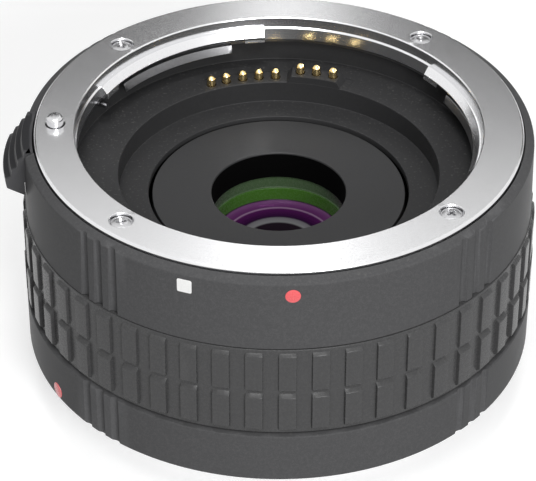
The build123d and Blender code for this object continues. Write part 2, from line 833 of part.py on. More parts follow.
with BuildPart() as flex_strip:
    flex_ends = (flex_angle - flex_half_angle, flex_angle + flex_half_angle)
    flex_section = sector(flex_r, flex_r + flex_thickness, *flex_ends, rear_board_z)
    extrude(flex_section, amount=front_board_foot_z - rear_board_z)
flex_strip.part.label = "flex_strip"
export_step(flex_strip.part, "parts/flex_strip.step")


# Liner behind the front throat: rim, shelf, well and the ears that its screws hold
contact_cut = (contact_block_ends[0] - rear_block_end_gap, contact_block_ends[1] + rear_block_end_gap)
with BuildPart() as front_liner:
    revolve(
        turned(
            [
                (well_r, shelf_z),
                (throat_tube_r - liner_rim, shelf_z),
                (throat_tube_r - liner_rim, leaf_foot_z),
                (throat_tube_r, leaf_foot_z),
                (throat_tube_r, shelf_foot_z),
                (well_r + well_wall, shelf_foot_z),
                (well_r + well_wall, well_floor_z - well_floor_thickness),
                (well_hole_r, well_floor_z - well_floor_thickness),
                (well_hole_r, well_floor_z),
                (well_r, well_floor_z),
            ]
        ),
        axis=Axis.Z,
    )
    for angle in mount_screw_angles:
        ear = sector(
            throat_tube_r - liner_rim,
            front_screw_circle + liner_ear_r,
            angle - liner_ear_half_angle,
            angle + liner_ear_half_angle,
            shelf_foot_z,
        )
        extrude(ear, amount=boss_foot_z - shelf_foot_z)
    with on_circle(front_screw_circle, mount_screw_angles, boss_foot_z):
        Hole(mount_screw_r + shank_play, shelf_thickness)
    cut_foot_z = well_floor_z - well_floor_thickness - overrun
    contact_opening = sector(well_r - thread_play, contact_block_r + slip_play, *contact_cut, cut_foot_z)
    extrude(contact_opening, amount=shelf_z - cut_foot_z + overrun, mode=Mode.SUBTRACT)
    with on_circle(contact_screw_circle, contact_ear_angles, shelf_foot_z, up=-1):
        Hole(contact_screw_r + thread_play, shelf_thickness - contact_screw_roof)
    with BuildSketch(stop_pin_plane) as stop_hole:
        Circle(stop_pin_r + thread_play)
    extrude(stop_hole.sketch, amount=throat_tube_r, mode=Mode.SUBTRACT)
front_liner.part.label = "front_liner"
export_step(front_liner.part, "parts/front_liner.step")

with BuildPart() as liner_screws:
    liner_screw_length = front_screw_tip_z - screw_tip_gap - shelf_foot_z
    with on_circle(front_screw_circle, mount_screw_angles, shelf_foot_z, up=-1):
        screw(liner_head_r, liner_head_height, mount_screw_r, liner_screw_length)
liner_screws.part.label = "liner_screws"
export_step(liner_screws.part, "parts/liner_screws.step")


# Front contact block, stepped up under three of its eight pins
with BuildPart() as front_contact_block:
    contact_body = sector(well_r, contact_block_r, *contact_block_ends, contact_block_foot_z)
    extrude(contact_body, amount=contact_block_depth)
    raised_radii = (well_r + raised_inset, contact_block_r - 2 * raised_inset)
    raised_foot = sector(*raised_radii, *raised_foot_ends, shelf_z)
    raised_top = sector(*raised_radii, *raised_top_ends, raised_z)
    loft([raised_foot, raised_top])
    for angle in contact_ear_angles:
        ear = sector(
            contact_block_r - contact_block_width / 4,
            contact_ear_r,
            angle - contact_ear_half_angle,
            angle + contact_ear_half_angle,
            shelf_foot_z - contact_ear_thickness,
        )
        extrude(ear, amount=contact_ear_thickness)
    with on_circle(contact_screw_circle, contact_ear_angles, shelf_foot_z):
        Hole(contact_screw_r + shank_play, contact_ear_thickness)
    for top_z, angles in ((raised_z, raised_pin_angles), (shelf_z, low_pin_angles)):
        with on_circle(contact_r, angles, top_z):
            Hole(pin_r + pin_play, pin_roof + overrun)
        with on_circle(contact_r, angles, contact_block_foot_z, up=-1):
            Hole(chamber_r, top_z - pin_roof - contact_block_foot_z)
front_contact_block.part.label = "front_contact_block"
export_step(front_contact_block.part, "parts/front_contact_block.step")

with BuildPart() as contact_block_screws:
    contact_screw_length = contact_ear_thickness + shelf_thickness - 2 * contact_screw_roof
    with on_circle(contact_screw_circle, contact_ear_angles, shelf_foot_z - contact_ear_thickness, up=-1):
        screw(contact_head_r, contact_head_height, contact_screw_r, contact_screw_length)
contact_block_screws.part.label = "contact_block_screws"
export_step(contact_block_screws.part, "parts/contact_block_screws.step")

pin_tops = [raised_z] * len(raised_pin_angles) + [shelf_z] * len(low_pin_angles)
for number, (angle, top_z) in enumerate(zip(pin_angles, pin_tops), start=1):
    collar_z = top_z - pin_roof - pin_rest_gap
    collar_foot_z = collar_z - collar_thickness
    tip_z = top_z + pin_rise
    tail_foot_z = contact_block_foot_z + pin_travel + pin_rest_gap
    with BuildPart() as contact_pin:
        with on_circle(contact_r, [angle], collar_foot_z):
            Cylinder(pin_r + collar_step, collar_thickness, align=ON)
            Cylinder(pin_tail_r, collar_foot_z - tail_foot_z, align=UNDER)
            Cylinder(pin_r, tip_z - pin_r - collar_foot_z, align=ON)
        with on_circle(contact_r, [angle], tip_z - pin_r):
            Sphere(pin_r)
    contact_pin.part.label = f"contact_pin_{number}"
    export_step(contact_pin.part, f"parts/contact_pin_{number}.step")
    with BuildPart() as contact_spring:
        spring_height = collar_foot_z - contact_block_foot_z
        with on_circle(contact_r, [angle], contact_block_foot_z):
            Cylinder(chamber_r - pin_spring_play, spring_height, align=ON)
            Cylinder(pin_tail_r + pin_spring_play, spring_height, align=ON, mode=Mode.SUBTRACT)
    contact_spring.part.label = f"contact_spring_{number}"
    export_step(contact_spring.part, f"parts/contact_spring_{number}.step")

with BuildPart() as front_contact_board:
    front_board = sector(front_board_bore_r, front_board_r, *board_ends, front_board_foot_z)
    extrude(front_board, amount=board_thickness)
front_contact_board.part.label = "front_contact_board"
export_step(front_contact_board.part, "parts/front_contact_board.step")

with BuildPart() as control_chip:
    with on_circle((front_board_bore_r + front_board_r) / 2 - chip_inset, [chip_angle], front_board_foot_z):
        Box(chip_width, chip_width, chip_height, align=UNDER)
control_chip.part.label = "control_chip"
export_step(control_chip.part, "parts/control_chip.step")


# Release lever: a stepped thumb pad, its block in the barrel's pocket and two tongues
with BuildPart() as release_lever:
    outwards = (cos(radians(lever_centre)), sin(radians(lever_centre)), 0)
    lever_plane = Plane(origin=(0, 0, 0), x_dir=outwards, z_dir=(outwards[1], -outwards[0], 0))
    stairs = []
    for n in range(ridge_count):
        step_r = ridge_r + n * ridge_reach
        step_z = lever_top_z - n * ridge_drop
        stairs += [(step_r, step_z), (step_r + riser_lean, step_z - riser_height)]
    edge_r = ridge_r + ridge_count * ridge_reach
    edge_z = lever_top_z - ridge_count * ridge_drop
    heel_r = band_foot_r + pad_heel_gap
    wall_foot_z = edge_z - pad_wall_height
    with BuildSketch(lever_plane) as pad_outline:
        with BuildLine():
            Polyline(
                (lip_r + lip_width / 2, lever_top_z),
                *stairs,
                (edge_r, edge_z),
                (edge_r - pad_wall_lean, wall_foot_z),
                (heel_r, wall_foot_z - pad_heel_drop),
                (heel_r, lever_block_foot_z),
                (lip_r + lip_width / 2, lever_block_foot_z),
                close=True,
            )
        make_face()
    crown_offset = ridge_r - lever_crown_r
    crown_axis = Axis((crown_offset * outwards[0], crown_offset * outwards[1], 0), (0, 0, 1))
    revolve(pad_outline.sketch, axis=crown_axis)
    lever_ends = (lever_centre - lever_half_angle, lever_centre + lever_half_angle)
    pad_wedge = sector(core_bore_r, edge_r + overrun, *lever_ends, wall_foot_z - pad_heel_drop)
    extrude(pad_wedge, amount=lever_top_z - wall_foot_z + pad_heel_drop, mode=Mode.INTERSECT)
    lever_block = sector(lever_block_r, shoulder_r, *lever_ends, lever_block_foot_z)
    extrude(lever_block, amount=lever_block_height)
    tongue_angles = (lever_centre - tongue_offset_angle, lever_centre + tongue_offset_angle)
    for angle in tongue_angles:
        tongue = sector(
            lever_screw_circle - tongue_screw_margin,
            lever_block_r + lip_width / 4,
            angle - tongue_half_angle,
            angle + tongue_half_angle,
            carrier_z,
        )
        extrude(tongue, amount=tongue_thickness)
    with on_circle(lever_screw_circle, tongue_angles, carrier_z, up=-1):
        Hole(lever_screw_r + thread_play, tongue_thickness)
release_lever.part.label = "release_lever"
export_step(release_lever.part, "parts/release_lever.step")

with BuildPart() as lock_carrier:
    extrude(sector(carrier_bore_r, carrier_r, *lever_ends, carrier_foot_z), amount=carrier_thickness)
    with on_circle(lever_screw_circle, tongue_angles, carrier_z):
        Hole(lever_screw_r + shank_play)
    with on_circle(lock_pin_circle, [lock_pin_angle], carrier_z):
        Hole(lock_tail_r + thread_play)
lock_carrier.part.label = "lock_carrier"
export_step(lock_carrier.part, "parts/lock_carrier.step")

with BuildPart() as lever_screws:
    with on_circle(lever_screw_circle, tongue_angles, carrier_foot_z, up=-1):
        screw(lever_head_r, lever_head_height, lever_screw_r, carrier_thickness + tongue_thickness)
lever_screws.part.label = "lever_screws"
export_step(lever_screws.part, "parts/lever_screws.step")

with BuildPart() as lock_pin:
    lock_pin_top_z = seat_spacing + lock_pin_rise
    with on_circle(lock_pin_circle, [lock_pin_angle], carrier_z):
        Cylinder(lock_pin_r, lock_pin_top_z - carrier_z, align=ON)
        Cylinder(lock_tail_r, carrier_z - ledge_foot_z + lock_tail_reach, align=UNDER)
    fillet(lock_pin.edges().group_by(Axis.Z)[-1], lock_pin_round)
lock_pin.part.label = "lock_pin"
export_step(lock_pin.part, "parts/lock_pin.step")

with BuildPart() as lock_spring:
    with on_circle(lock_pin_circle, [lock_pin_angle], ledge_z):
        Cylinder(lock_spring_r, lock_spring_length, align=ON)
        Cylinder(lock_spring_r - lock_spring_wall, lock_spring_length, align=ON, mode=Mode.SUBTRACT)
lock_spring.part.label = "lock_spring"
export_step(lock_spring.part, "parts/lock_spring.step")


# Lens barrel: tube with a collar in front and a flange on the rear barrel's floor
with BuildPart() as lens_barrel:
    flange_top_z = rear_floor_z + barrel_flange_foot_thickness
    revolve(
        turned(
            [
                (front_bore_r, stop_shoulder_z),
                (front_bore_r, disc_foot_z),
                (disc_r, disc_foot_z),
                (disc_r, disc_foot_z - barrel_collar_thickness),
                (barrel_tube_r, disc_foot_z - barrel_collar_thickness),
                (barrel_tube_r, flange_top_z),
                (barrel_flange_r, flange_top_z),
                (barrel_flange_r, rear_floor_z),
                (barrel_tube_r, rear_floor_z),
                (barrel_tube_r, lens_barrel_foot_z),
                (rear_bore_r, lens_barrel_foot_z),
                (rear_bore_r, rear_pair_z),
                (stop_shoulder_r, rear_pair_z),
                (stop_shoulder_r, stop_shoulder_z),
            ]
        ),
        axis=Axis.Z,
    )
    with on_circle(barrel_screw_circle, barrel_screw_angles, flange_top_z):
        Hole(mount_screw_r + shank_play, barrel_flange_foot_thickness)
    flex_notch_ends = (flex_ends[0] - flex_notch_gap, flex_ends[1] + flex_notch_gap)
    flex_notch_r = flex_r - 2 * flex_thickness
    flex_notch = sector(flex_notch_r, barrel_flange_r + overrun, *flex_notch_ends, rear_floor_z - overrun)
    extrude(flex_notch, amount=barrel_flange_foot_thickness + 2 * overrun, mode=Mode.SUBTRACT)
lens_barrel.part.label = "lens_barrel"
export_step(lens_barrel.part, "parts/lens_barrel.step")

with BuildPart() as barrel_flange_screws:
    with on_circle(barrel_screw_circle, barrel_screw_angles, flange_top_z):
        screw(mount_head_r, mount_head_height, mount_screw_r, barrel_screw_length)
barrel_flange_screws.part.label = "barrel_flange_screws"
export_step(barrel_flange_screws.part, "parts/barrel_flange_screws.step")

with BuildPart() as baffle_disc:
    revolve(
        turned(
            [
                (aperture_r, tube_foot_z),
                (aperture_r + aperture_wall, tube_foot_z),
                (aperture_r + aperture_wall, disc_foot_z),
                (disc_r, disc_foot_z),
                (disc_r, disc_z),
                (aperture_r, disc_z),
            ]
        ),
        axis=Axis.Z,
    )
baffle_disc.part.label = "baffle_disc"
export_step(baffle_disc.part, "parts/baffle_disc.step")


# Cell ring, glass, spacers and the rear retaining ring, from the front down
cement_clear_r = front_glass_r - glass_rim
rear_clear_r = rear_glass_r - retaining_ring_width - glass_rim / 2
stop_clear_r = stop_shoulder_r - glass_rim / 2

with BuildPart() as front_cell_ring:
    revolve(
        turned(
            [
                (front_glass_r, tube_foot_z),
                (cell_ring_r, tube_foot_z),
                (cell_ring_waist_r, cell_step_z),
                (cell_ring_seat_r, cell_step_z),
                (front_clear_r, front_glass_z),
                (front_glass_r, front_glass_z),
            ]
        ),
        axis=Axis.Z,
    )
front_cell_ring.part.label = "front_cell_ring"
export_step(front_cell_ring.part, "parts/front_cell_ring.step")

with BuildPart() as front_lens:
    hollow_front = (front_clear_r, -front_lens_front_hollow)
    hollow_back = (stop_shoulder_r, -front_lens_back_hollow)
    lens_outline = lens_half(front_glass_r, front_lens_foot_z, front_glass_z, hollow_front, hollow_back)
    revolve(lens_outline, axis=Axis.Z)
front_lens.part.label = "front_lens"
export_step(front_lens.part, "parts/front_lens.step")

with BuildPart() as front_spacer:
    with BuildSketch(Plane.XY.offset(doublet_z)):
        Circle(front_glass_r)
        Circle(front_glass_r - spacer_width / 2, mode=Mode.SUBTRACT)
    extrude(amount=front_lens_foot_z - doublet_z)
front_spacer.part.label = "front_spacer"
export_step(front_spacer.part, "parts/front_spacer.step")

with BuildPart() as doublet_front:
    crowned_face = (stop_shoulder_r, doublet_front_bulge)
    cement_face = (cement_clear_r, doublet_cement_bulge)
    lens_outline = lens_half(front_glass_r, cement_z, doublet_z, crowned_face, cement_face)
    revolve(lens_outline, axis=Axis.Z)
doublet_front.part.label = "doublet_front"
export_step(doublet_front.part, "parts/doublet_front.step")

with BuildPart() as doublet_rear:
    cement_hollow = (cement_clear_r, -doublet_cement_bulge - cement_gap)
    back_face = (stop_clear_r, doublet_back_bulge)
    lens_outline = lens_half(front_glass_r, stop_shoulder_z, cement_z, cement_hollow, back_face)
    revolve(lens_outline, axis=Axis.Z)
doublet_rear.part.label = "doublet_rear"
export_step(doublet_rear.part, "parts/doublet_rear.step")

with BuildPart() as rear_lens_front:
    pair_front_face = (stop_clear_r, rear_pair_front_bulge)
    pair_inner_face = (rear_glass_r - spacer_width, rear_pair_inner_bulge)
    lens_outline = lens_half(rear_glass_r, rear_spacer_z, rear_pair_z, pair_front_face, pair_inner_face)
    revolve(lens_outline, axis=Axis.Z)
rear_lens_front.part.label = "rear_lens_front"
export_step(rear_lens_front.part, "parts/rear_lens_front.step")

with BuildPart() as rear_spacer:
    with BuildSketch(Plane.XY.offset(rear_back_z)):
        Circle(rear_glass_r)
        Circle(rear_glass_r - spacer_width, mode=Mode.SUBTRACT)
    extrude(amount=rear_spacer_z - rear_back_z)
rear_spacer.part.label = "rear_spacer"
export_step(rear_spacer.part, "parts/rear_spacer.step")

with BuildPart() as rear_lens_back:
    hollow_inner_face = (rear_glass_r - spacer_width, -rear_pair_inner_hollow)
    pair_back_face = (rear_clear_r, rear_pair_back_bulge)
    lens_outline = lens_half(rear_glass_r, retaining_z, rear_back_z, hollow_inner_face, pair_back_face)
    revolve(lens_outline, axis=Axis.Z)
rear_lens_back.part.label = "rear_lens_back"
export_step(rear_lens_back.part, "parts/rear_lens_back.step")

with BuildPart() as rear_retaining_ring:
    with BuildSketch(Plane.XY.offset(retaining_foot_z)):
        Circle(rear_glass_r)
        Circle(rear_glass_r - retaining_ring_width, mode=Mode.SUBTRACT)
    extrude(amount=retaining_z - retaining_foot_z)
rear_retaining_ring.part.label = "rear_retaining_ring"
export_step(rear_retaining_ring.part, "parts/rear_retaining_ring.step")

print(f"across the bands {2 * rear_band_r:.2f}, over the lever {rear_band_r + edge_r:.2f}")
print(f"height {shroud_reach + lock_pin_top_z:.2f}, between the seats {seat_spacing:.2f}")
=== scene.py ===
"""Camera teleconverter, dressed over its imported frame.

Shapes are modelled in millimetres and degrees, and set down in metres. A corner of an outline
is its radius, its height and, unless it is sharp, its rounding.
"""

import logging
from collections.abc import Iterable, Sequence
from dataclasses import dataclass
from enum import Enum, StrEnum, auto
from functools import cache
from math import asin, cos, degrees, radians, sin, tau

import bmesh
import bpy
from bmesh.types import BMesh
from mathutils import Matrix, Vector
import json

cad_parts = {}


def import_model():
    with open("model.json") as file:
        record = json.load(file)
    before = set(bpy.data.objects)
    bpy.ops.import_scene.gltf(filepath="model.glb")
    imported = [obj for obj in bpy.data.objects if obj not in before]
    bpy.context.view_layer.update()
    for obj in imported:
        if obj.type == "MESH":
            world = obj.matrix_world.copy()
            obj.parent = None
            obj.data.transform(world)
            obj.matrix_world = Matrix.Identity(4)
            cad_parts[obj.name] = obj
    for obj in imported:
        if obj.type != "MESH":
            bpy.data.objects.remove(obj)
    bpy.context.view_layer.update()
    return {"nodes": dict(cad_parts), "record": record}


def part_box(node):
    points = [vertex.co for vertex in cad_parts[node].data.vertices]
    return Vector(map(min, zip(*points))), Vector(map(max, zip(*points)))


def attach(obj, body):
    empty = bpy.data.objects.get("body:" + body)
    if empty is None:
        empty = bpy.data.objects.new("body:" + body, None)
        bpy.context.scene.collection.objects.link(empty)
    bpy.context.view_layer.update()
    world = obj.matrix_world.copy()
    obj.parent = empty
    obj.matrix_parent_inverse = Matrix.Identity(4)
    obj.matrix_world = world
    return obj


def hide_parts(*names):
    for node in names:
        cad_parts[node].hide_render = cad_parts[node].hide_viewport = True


log = logging.getLogger("teleconverter")

Corner = tuple[float, ...]
Colour = tuple[float, float, float]
Point = tuple[float, float, float]

MILLIMETRE = 0.001
ORIGIN = (0.0, 0.0, 0.0)
WHITE = (1.0, 1.0, 1.0, 1.0)
TURN_STEPS = 192
RING_STEPS = 256
SCREW_TURNS = (47.6, 137.6, 227.6, 317.6)
SCREW_HOLE_R = 0.9
SCREW_SEAT_R = 1.6
LUG_CENTRES = (10.75, 124.65, 247.5)
LOCK_TURN = 180.0
LOCK_CIRCLE = 29.9
LOCK_HOLE_R = 1.3
FLUTE_R = 0.8
FLUTE_PITCH = 4.2
PIN_CIRCLE = 23.1
RAISED_PINS = (70.4, 76.5, 82.2)
LOW_PINS = (91.0, 96.9, 102.7, 108.7, 114.3)
PIN_TURNS = RAISED_PINS + LOW_PINS
OVERCUT = 1.0
MERGE_REACH = 0.0001
CARVING_REACH = 0.0005
NEAR_AXIS = 1e-6


class Slot(StrEnum):
    """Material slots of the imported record."""

    BAYONET_STEEL = auto()
    SCREW_STEEL = auto()
    SPRING_STEEL = auto()
    PIN_STEEL = auto()
    BLACK_SHELL = auto()
    BLACK_LEVER = auto()
    INNER_BLACK = auto()
    LINER_PLASTIC = auto()
    CONTACT_PLASTIC = auto()
    BLACK_SCREW = auto()
    GRIP_RUBBER = auto()
    CONTACT_GOLD = auto()
    BOARD_GREEN = auto()
    CHIP_BLACK = auto()
    FLEX_AMBER = auto()
    COATED_GLASS = auto()
    INNER_GLASS = auto()
    INDEX_RED = auto()
    INDEX_WHITE = auto()


class Body(StrEnum):
    """Bodies that more than one piece rides on."""

    HOUSING = auto()
    RELEASE = auto()


class Carving(Enum):
    """What a tool does to the mesh that it meets."""

    CUT = "DIFFERENCE"
    WELD = "UNION"
    KEEP = "INTERSECT"


# Shaping


def closed(mesh: BMesh) -> BMesh:
    """Merge the seams and poles of a mesh and turn its faces outwards."""
    bmesh.ops.remove_doubles(mesh, verts=mesh.verts[:], dist=MERGE_REACH)
    bmesh.ops.recalc_face_normals(mesh, faces=mesh.faces[:])
    return mesh


def rounded(mesh: BMesh, parts: list, size: float, segments: int, affect: str = "EDGES") -> None:
    """Round edges, or the points of an outline."""
    bmesh.ops.bevel(
        mesh, geom=parts, offset=size, affect=affect, segments=segments, profile=0.5,
        material=-1, clamp_overlap=affect == "EDGES",
    )


def spun(mesh: BMesh, angle: float, steps: int, **options: bool) -> None:
    """Spin all of a mesh about the axis of the part, by an angle in radians."""
    everything = mesh.verts[:] + mesh.edges[:] + mesh.faces[:]
    bmesh.ops.spin(
        mesh, geom=everything, cent=ORIGIN, axis=(0.0, 0.0, 1.0), angle=angle, steps=steps,
        **options,
    )


def swung(mesh: BMesh, angle: float, axis: str = "Z") -> BMesh:
    """Turn a mesh about an axis through the origin, by an angle in degrees."""
    turn = Matrix.Rotation(radians(angle), 3, axis)
    bmesh.ops.rotate(mesh, verts=mesh.verts[:], cent=ORIGIN, matrix=turn)
    return mesh


def moved(mesh: BMesh, shift: Point) -> BMesh:
    """Move a mesh."""
    bmesh.ops.translate(mesh, verts=mesh.verts[:], vec=shift)
    return mesh


def set_out(mesh: BMesh, circle: float, angle: float, height: float = 0.0) -> BMesh:
    """Move a mesh out to a circle round the axis, at an angle in degrees."""
    return swung(moved(mesh, (circle, 0.0, height)), angle)


def stood_out(mesh: BMesh, angle: float, radius: float, height: float) -> BMesh:
    """Lay a mesh made along +Z on the outside of a band, pointing away from the axis."""
    return set_out(swung(mesh, 90.0, "Y"), radius, angle, height)


def band(
    inner_r: float, outer_r: float, foot_z: float, top_z: float, rounds: Corner = (0.0,) * 4
) -> list[Corner]:
    """Outline of a plain band, from its inner foot outwards, up and back in."""
    spots = ((inner_r, foot_z), (outer_r, foot_z), (outer_r, top_z), (inner_r, top_z))
    return [(*spot, rounding) for spot, rounding in zip(spots, rounds)]


def outline(corners: Sequence[Corner], segments: int) -> BMesh:
    """Make a face on the plane through the axis, with rounded corners.

    Args:
        corners: Corners in order.
        segments: Steps in each rounding.

    Returns:
        Mesh that holds the one face.
    """
    mesh = bmesh.new()
    points = [mesh.verts.new((corner[0], 0.0, corner[1])) for corner in corners]
    mesh.faces.new(points)
    sizes = [sum(corner[2:]) for corner in corners]
    for size in sorted(set(sizes) - {0.0}):
        marked = [point for point, own in zip(points, sizes) if own == size]
        rounded(mesh, marked, size, segments, "VERTICES")
    return mesh


def turned_shell(
    corners: Sequence[Corner], steps: int = TURN_STEPS, segments: int = 3
) -> BMesh:
    """Spin an outline all the way round the axis.

    Args:
        corners: Corners in order.
        steps: Steps of the full turn.
        segments: Steps in each rounding.

    Returns:
        Closed shell.
    """
    mesh = outline(corners, segments)
    bmesh.ops.delete(mesh, geom=mesh.faces[:], context="FACES_ONLY")
    on_axis = [
        edge for edge in mesh.edges if all(abs(end.co.x) < NEAR_AXIS for end in edge.verts)
    ]
    bmesh.ops.delete(mesh, geom=on_axis, context="EDGES")
    spun(mesh, tau, steps, use_merge=True)
    return closed(mesh)


def turned_sector(
    corners: Sequence[Corner], centre: float, half_angle: float, steps: int, end_round: float = 0.0
) -> BMesh:
    """Spin an outline part of the way round the axis and close its ends.

    Args:
        corners: Corners in order.
        centre: Angle of the middle, in degrees.
        half_angle: Half of the angle that it spans, in degrees.
        steps: Steps of the spin.
        end_round: Rounding of the edges at both ends, which need more than four corners.

    Returns:
        Closed solid.
    """
    mesh = swung(outline(corners, 2), centre - half_angle)
    spun(mesh, radians(2 * half_angle), steps)
    open_rims = [edge for edge in mesh.edges if edge.is_boundary]
    bmesh.ops.holes_fill(mesh, edges=open_rims, sides=0)
    closed(mesh)
    if end_round > 0.0:
        ends = [edge for edge in mesh.edges if any(len(face.verts) > 4 for face in edge.link_faces)]
        rounded(mesh, ends, end_round, 2)
        bmesh.ops.recalc_face_normals(mesh, faces=mesh.faces[:])
    return mesh


def gathered(parts: Iterable[BMesh]) -> BMesh:
    """Join meshes into one without welding them.

    Args:
        parts: Meshes, which are used up.

    Returns:
        One mesh that holds them all.
    """
    whole = bmesh.new()
    for part in parts:
        carrier = bpy.data.meshes.new("carrier")
        part.to_mesh(carrier)
        part.free()
        whole.from_mesh(carrier)
        bpy.data.meshes.remove(carrier)
    return whole


def set_down(mesh: BMesh, name: str) -> bpy.types.Object:
    """Put a mesh in the scene as an object, and use the mesh up."""
    data = bpy.data.meshes.new(name)
    mesh.to_mesh(data)
    mesh.free()
    item = bpy.data.objects.new(name, data)
    bpy.context.scene.collection.objects.link(item)
    return item


def carved(base: BMesh, tool: BMesh, how: Carving) -> BMesh:
    """Cut a mesh with a tool, weld the tool to it, or keep what both share.

    Args:
        base: Mesh to change, which is used up.
        tool: Tool, which is used up.
        how: What the tool does.

    Returns:
        The changed mesh.
    """
    items = base_item, tool_item = set_down(base, "carving_base"), set_down(tool, "carving_tool")
    step = base_item.modifiers.new("carving", "BOOLEAN")
    step.operation = how.value
    step.solver = "EXACT"
    step.object = tool_item
    bpy.context.view_layer.update()
    depsgraph = bpy.context.evaluated_depsgraph_get()
    data = bpy.data.meshes.new_from_object(base_item.evaluated_get(depsgraph))
    result = bmesh.new()
    result.from_mesh(data)
    used = [data, *(item.data for item in items)]
    for item in items:
        bpy.data.objects.remove(item)
    for old in used:
        bpy.data.meshes.remove(old)
    bmesh.ops.remove_doubles(result, verts=result.verts[:], dist=CARVING_REACH)
    bmesh.ops.dissolve_degenerate(result, edges=result.edges[:], dist=CARVING_REACH)
    return result


def drill(
    radius: float, foot_z: float, seat_z: float, head_r: float, top_z: float, flare: float = 0.05
) -> BMesh:
    """Make a tool for a stepped hole whose mouth is slightly broken.

    Args:
        radius: Radius of the hole.
        foot_z: Height where the tool ends below.
        seat_z: Height where it widens.
        head_r: Radius above the seat.
        top_z: Height of the face that it enters.
        flare: Width of the broken edge at the mouth.

    Returns:
        Tool on the axis.
    """
    corners = [
        (0.0, foot_z), (radius, foot_z), (radius, seat_z), (head_r, seat_z),
        (head_r, top_z - flare), (head_r + 2 * flare, top_z + flare), (0.0, top_z + flare),
    ]
    return turned_shell(corners, steps=48)


def post(
    radius: float, foot_z: float, top_z: float, rounding: float = 0.0, steps: int = 48,
    segments: int = 4,
) -> BMesh:
    """Make a round post on the axis with a rounded top edge.

    Args:
        radius: Radius of the post.
        foot_z: Height of its foot.
        top_z: Height of its top.
        rounding: Rounding of its top edge.
        steps: Steps round it.
        segments: Steps of the rounding.

    Returns:
        Closed solid.
    """
    corners = band(0.0, radius, foot_z, top_z, (0.0, 0.0, rounding, 0.0))
    return turned_shell(corners, steps, segments)


def bowl(rim_r: float, rim_z: float, middle_z: float, steps: int = 14) -> list[Corner]:
    """Points of a spherical face from its middle out to its rim.

    Args:
        rim_r: Radius of the rim.
        rim_z: Height of the rim.
        middle_z: Height in the middle.
        steps: Steps from the middle to the rim.

    Returns:
        Sharp corners.
    """
    rise = rim_z - middle_z
    ball_r = (rim_r**2 + rise**2) / (2 * abs(rise))
    reach = asin(rim_r / ball_r)
    side = 1.0 if rise > 0.0 else -1.0
    angles = [reach * step / steps for step in range(steps + 1)]
    return [(ball_r * sin(a), middle_z + side * ball_r * (1.0 - cos(a))) for a in angles]


def upright_edges(mesh: BMesh) -> list[bmesh.types.BMEdge]:
    """Edges of a block that run along Z."""
    return [edge for edge in mesh.edges if abs(edge.verts[0].co.z - edge.verts[1].co.z) > 0.01]


def fluted(shell: BMesh, circle: float, foot_z: float, top_z: float, *more: BMesh) -> BMesh:
    """Cut three flutes beside each mount screw, along with other tools.

    Args:
        shell: Shell to cut, which is used up.
        circle: Radius of the circle that the flutes' axes stand on.
        foot_z: Height of their feet.
        top_z: Height of their tops.
        more: Tools that cut in the same go.

    Returns:
        The fluted shell.
    """
    turns = [middle + place * FLUTE_PITCH for middle in SCREW_TURNS for place in (-1, 0, 1)]
    tools = [set_out(post(FLUTE_R, foot_z, top_z), circle, turn) for turn in turns]
    return carved(shell, gathered([*tools, *more]), Carving.CUT)


def at_each_lug(
    ring: BMesh, corners: Sequence[Corner], spans: Iterable[float], steps: int, how: Carving
) -> BMesh:
    """Weld a sector to a mount ring at each lug, or cut it out.

    Args:
        ring: Ring to change, which is used up.
        corners: Outline of the sector.
        spans: Angle that it spans at each lug, in degrees.
        steps: Steps of each sector.
        how: What it does to the ring.

    Returns:
        The changed ring.
    """
    for centre, span in zip(LUG_CENTRES, spans):
        ring = carved(ring, turned_sector(corners, centre, span / 2, steps), how)
    return ring


# Finishes


